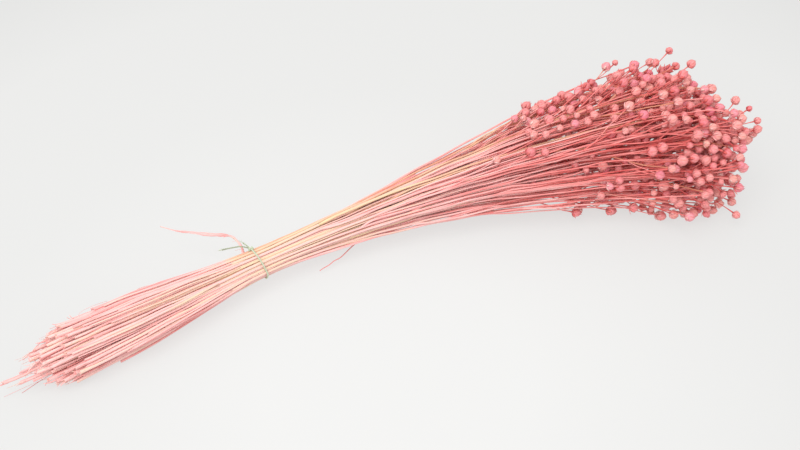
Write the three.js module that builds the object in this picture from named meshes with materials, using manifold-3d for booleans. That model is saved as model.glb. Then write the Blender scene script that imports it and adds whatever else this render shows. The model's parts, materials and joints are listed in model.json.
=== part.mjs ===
// A bunch of dyed dried flax, lying on its side. Its plants run from cut ends through a
// thin green cord, which holds them tight, to a spreading head of round seed capsules.
// Millimetres, +Z up. The floor is z = 0, and X runs along the bunch, towards the head.
import * as THREE from "three";
import { mergeVertices } from "three/addons/utils/BufferGeometryUtils.js";
import Module from "manifold-3d";

// The sheaf
const PLANTS = 54;
const SEED = 20261;
const TIE_HEADING = THREE.MathUtils.degToRad(10.4); // which way the stems pass the tie
const BEND_RADIUS = 850; // of the wide arc that the bunch follows past the tie
const PACKED = 11; // half the bunch's thickness at the tie
const LATTICE = 2.85; // from one stem's middle to the next at the tie
const LATTICE_SHIFT = [0.31, 0.17]; // of the lattice off the middle line, in its own steps
const LATTICE_REACH = 9; // rows of it on either side of the middle
const TIE_HEIGHT = 20; // of the bunch's middle above the floor, at the tie
const BUTT = { length: 180, wider: 15, widening: 0.75, higher: 2, drop: 5.5, turn: 0.35 };
const HEAD = { length: 385, wider: 52, widening: 1.15, higher: 34, lift: 26, turn: 0.29 };
// What the capsules may reach, beyond the stems' own outline
const CROWN = { from: 195, full: 270, far: 6, above: 2, swell: 7 };
const LOW_CROWN = { from: 265, full: 325, least: -8, swell: 14 }; // to the near side
const CROWN_SQUARENESS = { above: 2, below: 2.9 }; // an ellipse above, a fuller curve below
const FRONT = { at: 378, slant: 27, near: 7, stray: 0.5 };
const BACK = 205; // no capsule grows nearer to the tie
// Round patches of the head's section, where stems reach ahead of the rest or end early
const AHEAD = { across: -0.3, above: 0.45, within: 0.4, by: 30 };
const EARLY = { across: 0.68, above: 0.68, within: 0.4, share: 0.7, tip: 240, ragged: 34 };
const WANDER = { butt: 5, neck: 2, neckLength: 60, head: 13, height: 0.8 };
const FLARE_START = 5;
// Places along the bunch, from the tie, where every stem's section is set
const STATIONS = [-225, -170, -85, 0, 65, 130, 195, 260, 320, 380];
const TIE_STATION = STATIONS.indexOf(0);

// Main stems and the shoots that fork from them
const STEM_RADIUS = { least: 1.14, range: 0.2 };
const SHOOT_RADIUS = { least: 0.84, range: 0.14 };
const TAPER = 0.58; // the part of its radius that a stem loses towards its tip
const BUTT_END = { at: -160, ragged: 18, round: 30, slant: 5 }; // longest in the middle
const LONG_BUTTS = new Map([
  [1, -190],
  [10, -180],
]); // two stems stick out past the other cut ends
const TIP_END = { at: 352, ragged: 55, unevenness: 1.5, slant: 4, rise: 5 };
const SHORT_TIPS = { share: 0.14, by: 70 }; // some stems end far behind the others
const SHOOT_DROP = 55; // how far a shoot may end behind its main stem
const SHOOT_DROP_UNEVENNESS = 1.4;
const SHOOT_THINS_FROM = 60;
const SHOOT_APART = 0.6; // a shoot's own place from its main stem's, in lattice steps
const SHOOT_FORKS = { first: 4, count: 3 }; // the stations at which shoots leave
const SHOOT_ROOT = 15; // a shoot starts this far before its fork, inside the main stem
const SHOOT_SIDE = 2.6; // from a main stem's middle to its shoot's, at the fork
const SHOOT_LEAVE = 150; // the length over which a shoot drifts to its own place

// Capsules, and the stalks and side branches that carry them
const CAPSULE_RADIUS = { least: 2.8, range: 1.1 };
const SMALL_CAPSULE = { least: 2.2, range: 0.5, share: 0.1 };
const CAPSULE_SEAT = 0.92; // from a stalk's end to the capsule's middle, in radii
const CAPSULE_REACH = 1.07; // a capsule's corners stay within this many radii
const CAPSULE_FORM = { sides: 5, shoulder: 0.47, width: 0.95, point: 1.12, turns: [0.25, 0.35] };
const STALK = { radius: 0.5, least: 12, range: 16, lean: 4, spread: 24 };
const BRANCH = { radius: 0.55, root: 0.35, least: 26, range: 40, lean: 8, spread: 22 };
const BRANCH_ELBOW = { along: 0.45, off: 0.62 }; // where a branch bends, in its own lengths
const BRANCHES = 3; // side branches to a plant, one of them on its shoot
const BRANCH_ZONE = { clear: 18, length: 62 }; // where they leave, back from the tip
const STRAY = { share: 0.08, slack: 8 }; // a few branches reach past the head's outline
const OUTWARD_BIAS = 0.7; // branches rather turn away from the middle of the bunch
const ROOT_STRETCH = 0.12; // the share of a branch's first half that may touch its host
const TRIES = 40;
const TIP_TRIES = { strict: 20, slack: 3, looseSlack: 12, toShorten: 6, shorten: 6 };
const FORK_STEP = 6;
const SHORTEST = 45; // a shoot that would be shorter is left out

// Room between neighbours, and how stems are pushed apart
const GAP = 0.35;
const CORNER = 1.25; // a stem's corners reach this many radii
const SQUARE = CORNER / Math.SQRT2; // half the side of a square stem, in radii
const SETTLE = { rounds: 260, lastRounds: 60, push: 0.5, pull: 0.02, spread: 0.28, room: 0.15 };
const NEAR_TIE = 55; // stems loosen over this length on either side of the tie

// A low capsule rests on the floor, pressed a little flat, where that bends its branch by
// no more than the lift
const ON_FLOOR = { sink: 0.25, within: 2.5, lift: 14 };
const FLOOR_SLAB = { length: 1200, width: 600, depth: 20 };

// The cord round the stems, its knot and its two tails
const CORD_RADIUS = 0.65;
const CORD_SIDES = 5;
const CORD_STEPS = 22;
const CORD_TILT = 1.8; // the cord lies a little askew
const CORD_GAP = 0.7;
const OUTLINE_SIDES = 72;
const KNOT_TURN = THREE.MathUtils.degToRad(55); // round the bunch, from the far side up
const KNOT = { radius: 1.5, proud: 0.6, sections: [-1.9, -1, 1, 1.9], roundness: 2.4, sides: 6 };
const TAIL_NARROWING = 0.7;
const CORD_TAILS = [
  [[-9, 11.5, 30.5], [-15, 14.5, 28.5], [-22.3, 17.5, 26]],
  [[-5.9, 10.4, 32.4], [-7.4, 12.6, 32.9]],
].map((tail) => tail.map((place) => new THREE.Vector3(...place)));

// A torn strip of bark by the tie, and a thin dry tendril under the neck
const STRIP = {
  plant: 52,
  at: -7,
  radius: 0.95,
  narrowing: 0.4,
  points: [
    [-8.2, 14, 26],
    [-9.4, 20.7, 26],
    [-12.2, 27.1, 26],
    [-17.2, 31.1, 26],
    [-27.5, 35.5, 25.5],
    [-39.8, 44, 25],
    [-49.8, 49, 24.5],
    [-59, 58.5, 24],
  ].map((place) => new THREE.Vector3(...place)),
};
const TENDRIL = {
  plant: 50,
  at: 78,
  radius: 0.45,
  narrowing: 0.8,
  points: [
    [60.5, -3.2, 6.5],
    [52.5, -5.5, 5.5],
    [42.5, -9, 4.4],
  ].map((place) => new THREE.Vector3(...place)),
};

// The middle of the bunch's footprint, from the tie
const FOOTPRINT_MIDDLE = new THREE.Vector3(98.36, -7.66, 0);

const PLANT_COLOUR = { hue: 0.985, hues: 0.03, saturation: 0.5, lightness: 0.58, range: 0.12 };
const CORD_COLOUR = 0x6f8a63;

const UP = new THREE.Vector3(0, 0, 1);
const NEARBY = 4; // from one place on a stem to the next, at least

// Mulberry32: the same run of numbers from 0 to 1 for the same seed.
function randomStream(seed) {
  let state = seed >>> 0;
  return () => {
    state = (state + 0x6d2b79f5) >>> 0;
    let t = state;
    t = Math.imul(t ^ (t >>> 15), t | 1);
    t ^= t + Math.imul(t ^ (t >>> 7), t | 61);
    return ((t ^ (t >>> 14)) >>> 0) / 4294967296;
  };
}

// The sheaf's form: its middle line, its section's half sizes, and how it is twisted

function flare(s) {
  return THREE.MathUtils.smoothstep(s, FLARE_START, FLARE_START + HEAD.length);
}

function buttShare(s) {
  return Math.max(0, -s / BUTT.length);
}

function halfWidth(s) {
  const buttSpread = BUTT.wider * buttShare(s) ** BUTT.widening;
  return PACKED + HEAD.wider * flare(s) ** HEAD.widening + buttSpread;
}

function halfHeight(s) {
  return PACKED + HEAD.higher * flare(s) + BUTT.higher * buttShare(s);
}

function middleHeight(s) {
  return TIE_HEIGHT + HEAD.lift * flare(s) - BUTT.drop * buttShare(s);
}

function twist(s) {
  return s < 0 ? (BUTT.turn * s) / BUTT.length : (HEAD.turn * s) / HEAD.length;
}

// How far a stem may stray from its place in the section
function wander(s) {
  const inNeck = WANDER.neck * THREE.MathUtils.clamp(s / WANDER.neckLength, 0, 1);
  return WANDER.butt * buttShare(s) + inNeck + WANDER.head * flare(s);
}

function headingAt(s) {
  return TIE_HEADING - Math.max(0, s) / BEND_RADIUS;
}

// A point at station s, y to the far side of the middle line and z above the floor.
function toSpace(s, [y, z]) {
  const h = headingAt(s);
  let x = s * Math.cos(h);
  let middleY = s * Math.sin(h);
  if (s > 0) {
    x = BEND_RADIUS * (Math.sin(TIE_HEADING) - Math.sin(h));
    middleY = BEND_RADIUS * (Math.cos(h) - Math.cos(TIE_HEADING));
  }
  return new THREE.Vector3(x - Math.sin(h) * y, middleY + Math.cos(h) * y, z);
}

// The same three numbers back from a point past the tie.
function fromSpace(point) {
  const dx = point.x - BEND_RADIUS * Math.sin(TIE_HEADING);
  const dy = point.y + BEND_RADIUS * Math.cos(TIE_HEADING);
  const s = (TIE_HEADING - Math.atan2(-dx, dy)) * BEND_RADIUS;
  return { s, y: Math.hypot(dx, dy) - BEND_RADIUS, z: point.z };
}

// The stems

// Homes in a round section of radius 1, filled from the middle outwards.
function latticeHomes(count) {
  const homes = [];
  for (let a = -LATTICE_REACH; a <= LATTICE_REACH; a++) {
    for (let b = -LATTICE_REACH; b <= LATTICE_REACH; b++) {
      const x = (a + b / 2 + LATTICE_SHIFT[0]) * LATTICE;
      const y = ((b * Math.sqrt(3)) / 2 + LATTICE_SHIFT[1]) * LATTICE;
      homes.push({ u: x / PACKED, v: y / PACKED });
    }
  }
  homes.sort((p, q) => Math.hypot(p.u, p.v) - Math.hypot(q.u, q.v));
  return homes.slice(0, count);
}

// 1 in the middle of a patch of the head's section, and 0 from its edge on
function patchShare(patch, across, above) {
  return Math.max(0, 1 - Math.hypot(across - patch.across, above - patch.above) / patch.within);
}

function makeMainStem(plant, home, draw) {
  const { u, v } = home;
  const t = twist(HEAD.length);
  const inSection = [u * Math.cos(t) - v * Math.sin(t), u * Math.sin(t) + v * Math.cos(t)];
  const base = STEM_RADIUS.least + STEM_RADIUS.range * draw();
  const ragged = BUTT_END.ragged * draw();
  const cut = BUTT_END.at - ragged + BUTT_END.round * (u * u + v * v) + BUTT_END.slant * u;
  const luck = draw();
  let tip = TIP_END.at - TIP_END.ragged * draw() ** TIP_END.unevenness;
  tip -= TIP_END.slant * u + TIP_END.rise * v;
  tip += AHEAD.by * patchShare(AHEAD, ...inSection);
  if (luck < EARLY.share && patchShare(EARLY, ...inSection) > 0) {
    tip = EARLY.tip - EARLY.ragged * draw();
  } else if (luck < SHORT_TIPS.share) {
    tip -= SHORT_TIPS.by * draw();
  }
  return {
    plant,
    u,
    v,
    base,
    butt: LONG_BUTTS.get(plant) ?? cut,
    tip,
    first: 0,
    buttTurn: 2 * Math.PI * draw(),
    buttWander: draw(),
    headTurn: 2 * Math.PI * draw(),
    headWander: draw(),
    thinFrom: -BUTT.length,
  };
}

function makeShoot(main, draw) {
  const side = 2 * Math.PI * draw();
  const reach = (SHOOT_APART * LATTICE) / PACKED;
  const u = main.u + reach * Math.cos(side);
  const v = main.v + reach * Math.sin(side);
  const out = Math.max(1, Math.hypot(u, v));
  const base = SHOOT_RADIUS.least + SHOOT_RADIUS.range * draw();
  const first = SHOOT_FORKS.first + Math.floor(SHOOT_FORKS.count * draw());
  return {
    plant: main.plant,
    parent: main,
    side,
    u: u / out,
    v: v / out,
    base,
    first,
    butt: STATIONS[first],
    tip: Math.max(BACK, main.tip - SHOOT_DROP * draw() ** SHOOT_DROP_UNEVENNESS),
    headTurn: 2 * Math.PI * draw(),
    headWander: draw(),
    thinFrom: SHOOT_THINS_FROM,
  };
}

function radiusAt(stem, s) {
  const share = (s - stem.thinFrom) / (stem.tip - stem.thinFrom);
  return stem.base * (1 - TAPER * THREE.MathUtils.clamp(share, 0, 1));
}

// Where a stem would pass each station if it had the sheaf to itself.
function homePlaces(stem) {
  return STATIONS.map((s, k) => {
    const turn = s < 0 && !stem.parent ? stem.buttTurn : stem.headTurn;
    const stray = wander(s) * (s < 0 && !stem.parent ? stem.buttWander : stem.headWander);
    const t = twist(s);
    const across = stem.u * Math.cos(t) - stem.v * Math.sin(t);
    const above = stem.u * Math.sin(t) + stem.v * Math.cos(t);
    const y = halfWidth(s) * across + stray * Math.cos(turn);
    const z = middleHeight(s) + halfHeight(s) * above + WANDER.height * stray * Math.sin(turn);
    if (!stem.parent) {
      return [y, z];
    }
    const leave = THREE.MathUtils.smoothstep(s - STATIONS[stem.first], 0, SHOOT_LEAVE);
    const [parentY, parentZ] = stem.parent.places[k];
    return [
      (parentY + SHOOT_SIDE * Math.cos(stem.side)) * (1 - leave) + y * leave,
      (parentZ + SHOOT_SIDE * Math.sin(stem.side)) * (1 - leave) + z * leave,
    ];
  });
}

// Pushes stems apart until no two touch between one station and the next. They keep
// their places at the tie and stay above the floor.
function settle(stems) {
  const homes = stems.map((stem) => stem.places);
  const places = homes.map((row) => row.map((place) => [...place]));
  const radii = stems.map((stem) => STATIONS.map((s) => radiusAt(stem, s)));
  const lives = stems.map((stem) => {
    const from = stem.parent ? STATIONS[stem.first] : stem.butt;
    return STATIONS.slice(1).map((s, k) => s > from && STATIONS[k] < stem.tip);
  });
  const looseness = STATIONS.map((s) => Math.min(1, Math.abs(s) / NEAR_TIE));
  const need = (i, j, k) =>
    (radii[i][k] + radii[j][k]) * (1 + SETTLE.spread * looseness[k]) +
    SETTLE.room * (1 + looseness[k]);

  for (let round = 0; round < SETTLE.rounds; round++) {
    const moves = places.map((row) => row.map(() => [0, 0]));
    for (let i = 0; i < stems.length; i++) {
      for (let j = i + 1; j < stems.length; j++) {
        for (let k = 0; k < STATIONS.length - 1; k++) {
          if (!lives[i][k] || !lives[j][k]) {
            continue;
          }
          const y0 = places[j][k][0] - places[i][k][0];
          const z0 = places[j][k][1] - places[i][k][1];
          const dy = places[j][k + 1][0] - places[i][k + 1][0] - y0;
          const dz = places[j][k + 1][1] - places[i][k + 1][1] - z0;
          const t = THREE.MathUtils.clamp(
            -(y0 * dy + z0 * dz) / (dy * dy + dz * dz + 1e-9), 0, 1,
          );
          const y = y0 + dy * t;
          const z = z0 + dz * t;
          const apart = Math.sqrt(y * y + z * z) + 1e-9;
          const short = need(i, j, k) * (1 - t) + need(i, j, k + 1) * t - apart;
          if (short <= 0) {
            continue;
          }
          const shares = [1 - t, t];
          const evened = t * t + (1 - t) * (1 - t);
          const step = ((short / apart) * 0.5 * SETTLE.push) / evened;
          shares.forEach((share, end) => {
            moves[i][k + end][0] -= y * step * share;
            moves[i][k + end][1] -= z * step * share;
            moves[j][k + end][0] += y * step * share;
            moves[j][k + end][1] += z * step * share;
          });
        }
      }
    }
    const pull = round < SETTLE.rounds - SETTLE.lastRounds ? SETTLE.pull : 0;
    places.forEach((row, i) => {
      row.forEach((place, k) => {
        if (k !== TIE_STATION) {
          place[0] += moves[i][k][0] + pull * (homes[i][k][0] - place[0]);
          place[1] += moves[i][k][1] + pull * (homes[i][k][1] - place[1]);
        }
        place[1] = Math.max(place[1], radii[i][k] * SQUARE);
      });
    });
  }
  stems.forEach((stem, i) => {
    stem.places = places[i];
  });
}

function makeStems() {
  const draw = randomStream(SEED);
  const mains = latticeHomes(PLANTS).map((home, plant) => makeMainStem(plant, home, draw));
  const stems = [...mains, ...mains.map((main) => makeShoot(main, draw))];
  for (const stem of stems) {
    stem.places = homePlaces(stem);
  }
  settle(stems);
  return stems;
}

function pointAt(stem, s) {
  let k = 0;
  while (k < STATIONS.length - 2 && STATIONS[k + 1] < s) {
    k++;
  }
  const share = (s - STATIONS[k]) / (STATIONS[k + 1] - STATIONS[k]);
  const before = toSpace(STATIONS[k], stem.places[k]);
  const after = toSpace(STATIONS[k + 1], stem.places[k + 1]);
  return before.lerp(after, THREE.MathUtils.clamp(share, 0, 1));
}

function directionAt(stem, s) {
  return pointAt(stem, s + NEARBY).sub(pointAt(stem, s - NEARBY)).normalize();
}

// A stem's points and radii from its cut end, or its root in another stem, to its tip.
function stemLine(stem) {
  const line = [{ s: stem.butt, point: pointAt(stem, stem.butt) }];
  if (stem.parent) {
    const s = stem.butt - SHOOT_ROOT;
    line.unshift({ s, point: pointAt(stem.parent, s) });
  }
  STATIONS.forEach((s, k) => {
    if (s > stem.butt + NEARBY && s < stem.tip - NEARBY) {
      line.push({ s, point: toSpace(s, stem.places[k]) });
    }
  });
  line.push({ s: stem.tip, point: pointAt(stem, stem.tip) });
  return line.map((spot) => ({ ...spot, radius: radiusAt(stem, spot.s) }));
}

// Slides a shoot's fork along its main stem until no other stem runs between the two.
// Returns false where there is no such place.
function placeFork(shoot, crowd) {
  while (shoot.butt < shoot.tip - SHORTEST) {
    const line = stemLine(shoot);
    const own = [shoot, shoot.parent];
    if (crowd.hasRoomForLine(line[0].point, line[1].point, 0.8 * line[1].radius, own)) {
      crowd.removeLine(shoot);
      crowd.addLine(line, shoot);
      return true;
    }
    shoot.butt += FORK_STEP;
  }
  crowd.removeLine(shoot);
  return false;
}

// What is already in place, as straight stretches of stem and round capsules
class Crowd {
  stretches = [];
  balls = [];

  addLine(line, owner) {
    for (let k = 0; k < line.length - 1; k++) {
      const radius = Math.max(line[k].radius, line[k + 1].radius);
      this.stretches.push({ a: line[k].point, b: line[k + 1].point, radius, owner });
    }
  }

  addBall(middle, radius, owner) {
    this.balls.push({ middle, radius: radius * CAPSULE_REACH, owner });
  }

  removeLine(owner) {
    this.stretches = this.stretches.filter((stretch) => stretch.owner !== owner);
  }

  hasRoomForLine(a, b, radius, skip) {
    const meets = this.stretches.some(
      (other) =>
        !skip.includes(other.owner) &&
        gapBetween(a, b, other.a, other.b) < (other.radius + radius) * CORNER + GAP,
    );
    const strikes = this.balls.some(
      (ball) =>
        !skip.includes(ball.owner) &&
        gapToPoint(ball.middle, a, b) < ball.radius + radius * CORNER + GAP,
    );
    return !meets && !strikes;
  }

  hasRoomForBall(middle, radius, skip) {
    const reach = radius * CAPSULE_REACH;
    const meets = this.stretches.some(
      ({ a, b, radius: other, owner }) =>
        !skip.includes(owner) && gapToPoint(middle, a, b) < other * CORNER + reach + GAP,
    );
    const strikes = this.balls.some(
      (ball) => ball.middle.distanceTo(middle) < ball.radius + reach + GAP,
    );
    return !meets && !strikes;
  }
}

// How far a point is from the stretch a-b.
function gapToPoint(point, a, b) {
  const along = b.clone().sub(a);
  const share = point.clone().sub(a).dot(along) / (along.lengthSq() + 1e-12);
  return along.multiplyScalar(THREE.MathUtils.clamp(share, 0, 1)).add(a).distanceTo(point);
}

// How far the stretch p0-p1 is from the stretch a-b.
function gapBetween(p0, p1, a, b) {
  const first = p1.clone().sub(p0);
  const second = b.clone().sub(a);
  const between = p0.clone().sub(a);
  const firstSquared = first.lengthSq() + 1e-12;
  const secondSquared = second.lengthSq() + 1e-12;
  const across = first.dot(second);
  const onFirst = first.dot(between);
  const onSecond = second.dot(between);
  const clamp = (value) => THREE.MathUtils.clamp(value, 0, 1);
  const spread = firstSquared * secondSquared - across * across;
  let s = spread > 1e-9 ? clamp((across * onSecond - onFirst * secondSquared) / spread) : 0;
  let t = (across * s + onSecond) / secondSquared;
  if (t < 0) {
    s = clamp(-onFirst / firstSquared);
  } else if (t > 1) {
    s = clamp((across - onFirst) / firstSquared);
  }
  t = clamp(t);
  return first.multiplyScalar(s).add(p0).distanceTo(second.multiplyScalar(t).add(a));
}

// Whether a capsule there keeps to the head's outline, which may be eased by slack.
function insideHead(middle, slack) {
  const { s, y, z } = fromSpace(middle);
  const swell = THREE.MathUtils.smoothstep(s, CROWN.from, CROWN.full);
  const lowSwell = THREE.MathUtils.smoothstep(s, LOW_CROWN.from, LOW_CROWN.full);
  const near = LOW_CROWN.least + LOW_CROWN.swell * lowSwell;
  const width = halfWidth(s) + (y > 0 ? CROWN.far * swell : near) + slack;
  const height = halfHeight(s) + CROWN.above + CROWN.swell * swell + slack;
  const across = y / width;
  const above = (z - middleHeight(s)) / height;
  const slanted = FRONT.slant * Math.max(0, across + above);
  const front =
    FRONT.at -
    slanted -
    FRONT.near * Math.max(0, -across) ** 2 +
    AHEAD.by * patchShare(AHEAD, across, above) +
    FRONT.stray * slack;
  const squareness = above > 0 ? CROWN_SQUARENESS.above : CROWN_SQUARENESS.below;
  const inside = Math.abs(across) ** squareness + Math.abs(above) ** squareness <= 1;
  return inside && s > BACK && s < front;
}

function capsuleRadius(draw) {
  const size = draw();
  return draw() > SMALL_CAPSULE.share
    ? CAPSULE_RADIUS.least + CAPSULE_RADIUS.range * size
    : SMALL_CAPSULE.least + SMALL_CAPSULE.range * size;
}

// A direction square to along, turned by a random angle about it.
function outwards(along, draw) {
  const left = new THREE.Vector3().crossVectors(UP, along).normalize();
  const rise = new THREE.Vector3().crossVectors(along, left);
  const turn = 2 * Math.PI * draw();
  return left.multiplyScalar(Math.cos(turn)).addScaledVector(rise, Math.sin(turn));
}

function capsuleOn(end, axis, radius) {
  return { radius, axis, middle: end.clone().addScaledVector(axis, radius * CAPSULE_SEAT) };
}

// Gives a stem its last stretch, a bent stalk with a capsule. A stem whose capsule finds
// no room near its tip is made shorter, and false is returned for one that gets too short.
function placeTip(stem, crowd, draw) {
  const radius = capsuleRadius(draw);
  crowd.removeLine(stem);
  for (let tries = 0; stem.tip > stem.butt + SHORTEST; tries++) {
    const line = stemLine(stem);
    const [before, last] = line.slice(-2);
    const along = last.point.clone().sub(before.point).normalize();
    const out = outwards(along, draw);
    const length = STALK.least + STALK.range * draw();
    const lean = Math.tan(THREE.MathUtils.degToRad(STALK.lean + STALK.spread * draw()));
    const way = along.clone().addScaledVector(out, lean);
    const end = last.point.clone().addScaledVector(way, length);
    const capsule = capsuleOn(end, way.normalize(), radius);
    const slack = tries > TIP_TRIES.strict ? TIP_TRIES.looseSlack : TIP_TRIES.slack;
    if (
      capsule.middle.z > radius &&
      insideHead(capsule.middle, slack) &&
      crowd.hasRoomForBall(capsule.middle, radius, []) &&
      crowd.hasRoomForLine(last.point, end, STALK.radius, [])
    ) {
      stem.capsule = capsule;
      stem.line = [...line, { point: end, radius: STALK.radius }];
      crowd.addLine(stem.line, stem);
      crowd.addBall(capsule.middle, radius, stem);
      return true;
    }
    if ((tries + 1) % TIP_TRIES.toShorten === 0) {
      stem.tip -= TIP_TRIES.shorten;
    }
  }
  return false;
}

// One side branch, bending away from its host, or null where it has no room.
function growBranch(host, s, crowd, draw) {
  const radius = capsuleRadius(draw);
  const root = pointAt(host, s);
  const along = directionAt(host, s);
  const fromMiddle = root.clone().sub(toSpace(s, [0, middleHeight(s)])).normalize();
  const out = outwards(along, draw).addScaledVector(fromMiddle, OUTWARD_BIAS);
  out.projectOnPlane(along).normalize();
  const length = BRANCH.least + BRANCH.range * draw();
  const angle = THREE.MathUtils.degToRad(BRANCH.lean + BRANCH.spread * draw());
  const slack = draw() < STRAY.share ? STRAY.slack : 0;
  const off = length * Math.tan(angle);
  const elbow = root
    .clone()
    .addScaledVector(along, length * BRANCH_ELBOW.along)
    .addScaledVector(out, off * BRANCH_ELBOW.off);
  const end = root.clone().addScaledVector(along, length).addScaledVector(out, off);
  let capsule = capsuleOn(end, end.clone().sub(elbow).normalize(), radius);
  const onFloor = radius - ON_FLOOR.sink;
  if (capsule.middle.z < onFloor + ON_FLOOR.within) {
    const lift = onFloor - capsule.middle.z;
    if (lift > ON_FLOOR.lift) {
      return null;
    }
    end.z += lift;
    elbow.z += lift / 2;
    capsule = capsuleOn(end, end.clone().sub(elbow).normalize(), radius);
    capsule.middle.z = onFloor;
    end.copy(capsule.middle).addScaledVector(capsule.axis, -radius * CAPSULE_SEAT);
  }
  const curve = new THREE.QuadraticBezierCurve3(root, elbow, end);
  const middle = curve.getPoint(0.5);
  const clearOfHost = root.clone().lerp(middle, ROOT_STRETCH);
  const fits =
    insideHead(capsule.middle, slack) &&
    Math.min(middle.z, end.z) > BRANCH.radius * CORNER &&
    crowd.hasRoomForBall(capsule.middle, radius, []) &&
    crowd.hasRoomForLine(clearOfHost, middle, BRANCH.radius, [host]) &&
    crowd.hasRoomForLine(middle, end, BRANCH.radius, []);
  if (!fits) {
    return null;
  }
  const line = [
    { point: root, radius: BRANCH.root },
    { point: middle, radius: BRANCH.radius },
    { point: end, radius: BRANCH.radius },
  ];
  return { plant: host.plant, host, s, curve, line, capsule };
}

function placeBranches(stems, crowd, draw) {
  const branches = [];
  for (let plant = 0; plant < PLANTS; plant++) {
    for (let k = 0; k < BRANCHES; k++) {
      const own = stems.filter((stem) => stem.plant === plant);
      const host = own[k < 2 ? 0 : own.length - 1];
      const lowest = host.butt + 8;
      for (let tries = 0; tries < TRIES; tries++) {
        const back = host.tip - BRANCH_ZONE.clear - BRANCH_ZONE.length * draw();
        const branch = growBranch(host, Math.max(lowest, back), crowd, draw);
        if (branch) {
          branches.push(branch);
          crowd.addLine(branch.line, branch);
          crowd.addBall(branch.capsule.middle, branch.capsule.radius, branch);
          break;
        }
      }
    }
  }
  return branches;
}

// Solids

// Points round a middle, in the plane of left and rise, the first at the given turn.
function ring(middle, left, rise, radius, sides, start) {
  const points = [];
  for (let k = 0; k < sides; k++) {
    const turn = 2 * Math.PI * (start + k / sides);
    points.push(
      middle
        .clone()
        .addScaledVector(left, radius * Math.cos(turn))
        .addScaledVector(rise, radius * Math.sin(turn)),
    );
  }
  return { points, start };
}

function ringAcross(middle, axis, radius, sides, start) {
  const left = new THREE.Vector3().crossVectors(UP, axis).normalize();
  const rise = new THREE.Vector3().crossVectors(axis, left);
  return ring(middle, left, rise, radius, sides, start);
}

// A closed geometry through rings that may differ in their number of points. The last
// ring may be one point. A loop joins its last ring to its first.
function loft(rings, loop = false) {
  const positions = [];
  const triangles = [];
  const firsts = [];
  for (const { points } of rings) {
    firsts.push(positions.length / 3);
    points.forEach((point) => positions.push(point.x, point.y, point.z));
  }
  const stitch = (a, b) => {
    const n = rings[a].points.length;
    const m = rings[b].points.length;
    let i = 0;
    let j = 0;
    while (i < n || (m > 1 && j < m)) {
      const nextA = rings[a].start + (i + 1) / n;
      const nextB = rings[b].start + (j + 1) / m;
      const here = firsts[a] + (i % n);
      const there = firsts[b] + (j % m);
      if (m === 1 || j === m || (i < n && nextA <= nextB)) {
        triangles.push(here, firsts[a] + ((i + 1) % n), there);
        i++;
      } else {
        triangles.push(here, firsts[b] + ((j + 1) % m), there);
        j++;
      }
    }
  };
  for (let k = 0; k < rings.length - 1; k++) {
    stitch(k, k + 1);
  }
  if (loop) {
    stitch(rings.length - 1, 0);
  } else {
    for (let k = 1; k < rings[0].points.length - 1; k++) {
      triangles.push(0, k + 1, k);
    }
    const last = firsts.at(-1);
    for (let k = 1; k < rings.at(-1).points.length - 1; k++) {
      triangles.push(last, last + k, last + k + 1);
    }
  }
  const geometry = new THREE.BufferGeometry();
  geometry.setAttribute("position", new THREE.Float32BufferAttribute(positions, 3));
  geometry.setIndex(triangles);
  return geometry;
}

// A five-sided capsule with a short point, from the stalk's end onwards.
function capsuleRings({ middle, axis, radius }) {
  const { sides, shoulder, width, point, turns } = CAPSULE_FORM;
  const at = (share) => middle.clone().addScaledVector(axis, share * radius);
  return [
    ringAcross(at(-shoulder), axis, width * radius, sides, turns[0]),
    ringAcross(at(shoulder), axis, width * radius, sides, turns[1]),
    { points: [at(point)], start: turns[0] },
  ];
}

// A stem's sections stand square across the bunch, with their flats level.
function stemGeometry(stem) {
  const sides = stem.parent ? 3 : 4;
  const start = stem.parent ? 0.25 : 0.125;
  const sections = stem.line.slice(0, -1).map(({ s, point, radius }) => {
    const h = headingAt(s);
    const left = new THREE.Vector3(-Math.sin(h), Math.cos(h), 0);
    return ring(point, left, UP, radius * CORNER, sides, start);
  });
  const { point, radius } = stem.line.at(-1);
  const end = ringAcross(point, stem.capsule.axis, radius * CORNER, sides, start);
  return loft([...sections, end, ...capsuleRings(stem.capsule)]);
}

function branchGeometry({ line, capsule }) {
  const ways = [
    line[1].point.clone().sub(line[0].point),
    line[2].point.clone().sub(line[0].point),
    capsule.axis.clone(),
  ];
  const sections = line.map(({ point, radius }, k) =>
    ringAcross(point, ways[k].normalize(), radius * CORNER, 3, 0.25),
  );
  return loft([...sections, ...capsuleRings(capsule)]);
}

// A thin tube through points, narrowing to a share of its radius at its free end.
function whiskerGeometry(points, radius, narrowing, sides = 4) {
  const curve = new THREE.CatmullRomCurve3(points);
  const steps = points.length * 2 - 2;
  const sections = [];
  for (let k = 0; k <= steps; k++) {
    const t = k / steps;
    const width = radius * (1 - (1 - narrowing) * t);
    sections.push(ringAcross(curve.getPoint(t), curve.getTangent(t), width, sides, 0.125));
  }
  return loft(sections);
}

const wasm = await Module();
wasm.setup();

function solidFrom(geometry) {
  return new wasm.Manifold(
    new wasm.Mesh({
      numProp: 3,
      vertProperties: geometry.getAttribute("position").array,
      triVerts: new Uint32Array(geometry.index.array),
    }),
  );
}

function geometryFrom(solid) {
  const { vertProperties, triVerts } = solid.getMesh();
  const geometry = new THREE.BufferGeometry();
  geometry.setAttribute("position", new THREE.BufferAttribute(vertProperties, 3));
  geometry.setIndex(new THREE.BufferAttribute(triVerts, 1));
  geometry.computeVertexNormals();
  return geometry;
}

function fuse(geometries) {
  return geometries.map(solidFrom).reduce((whole, piece) => whole.add(piece));
}

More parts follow.
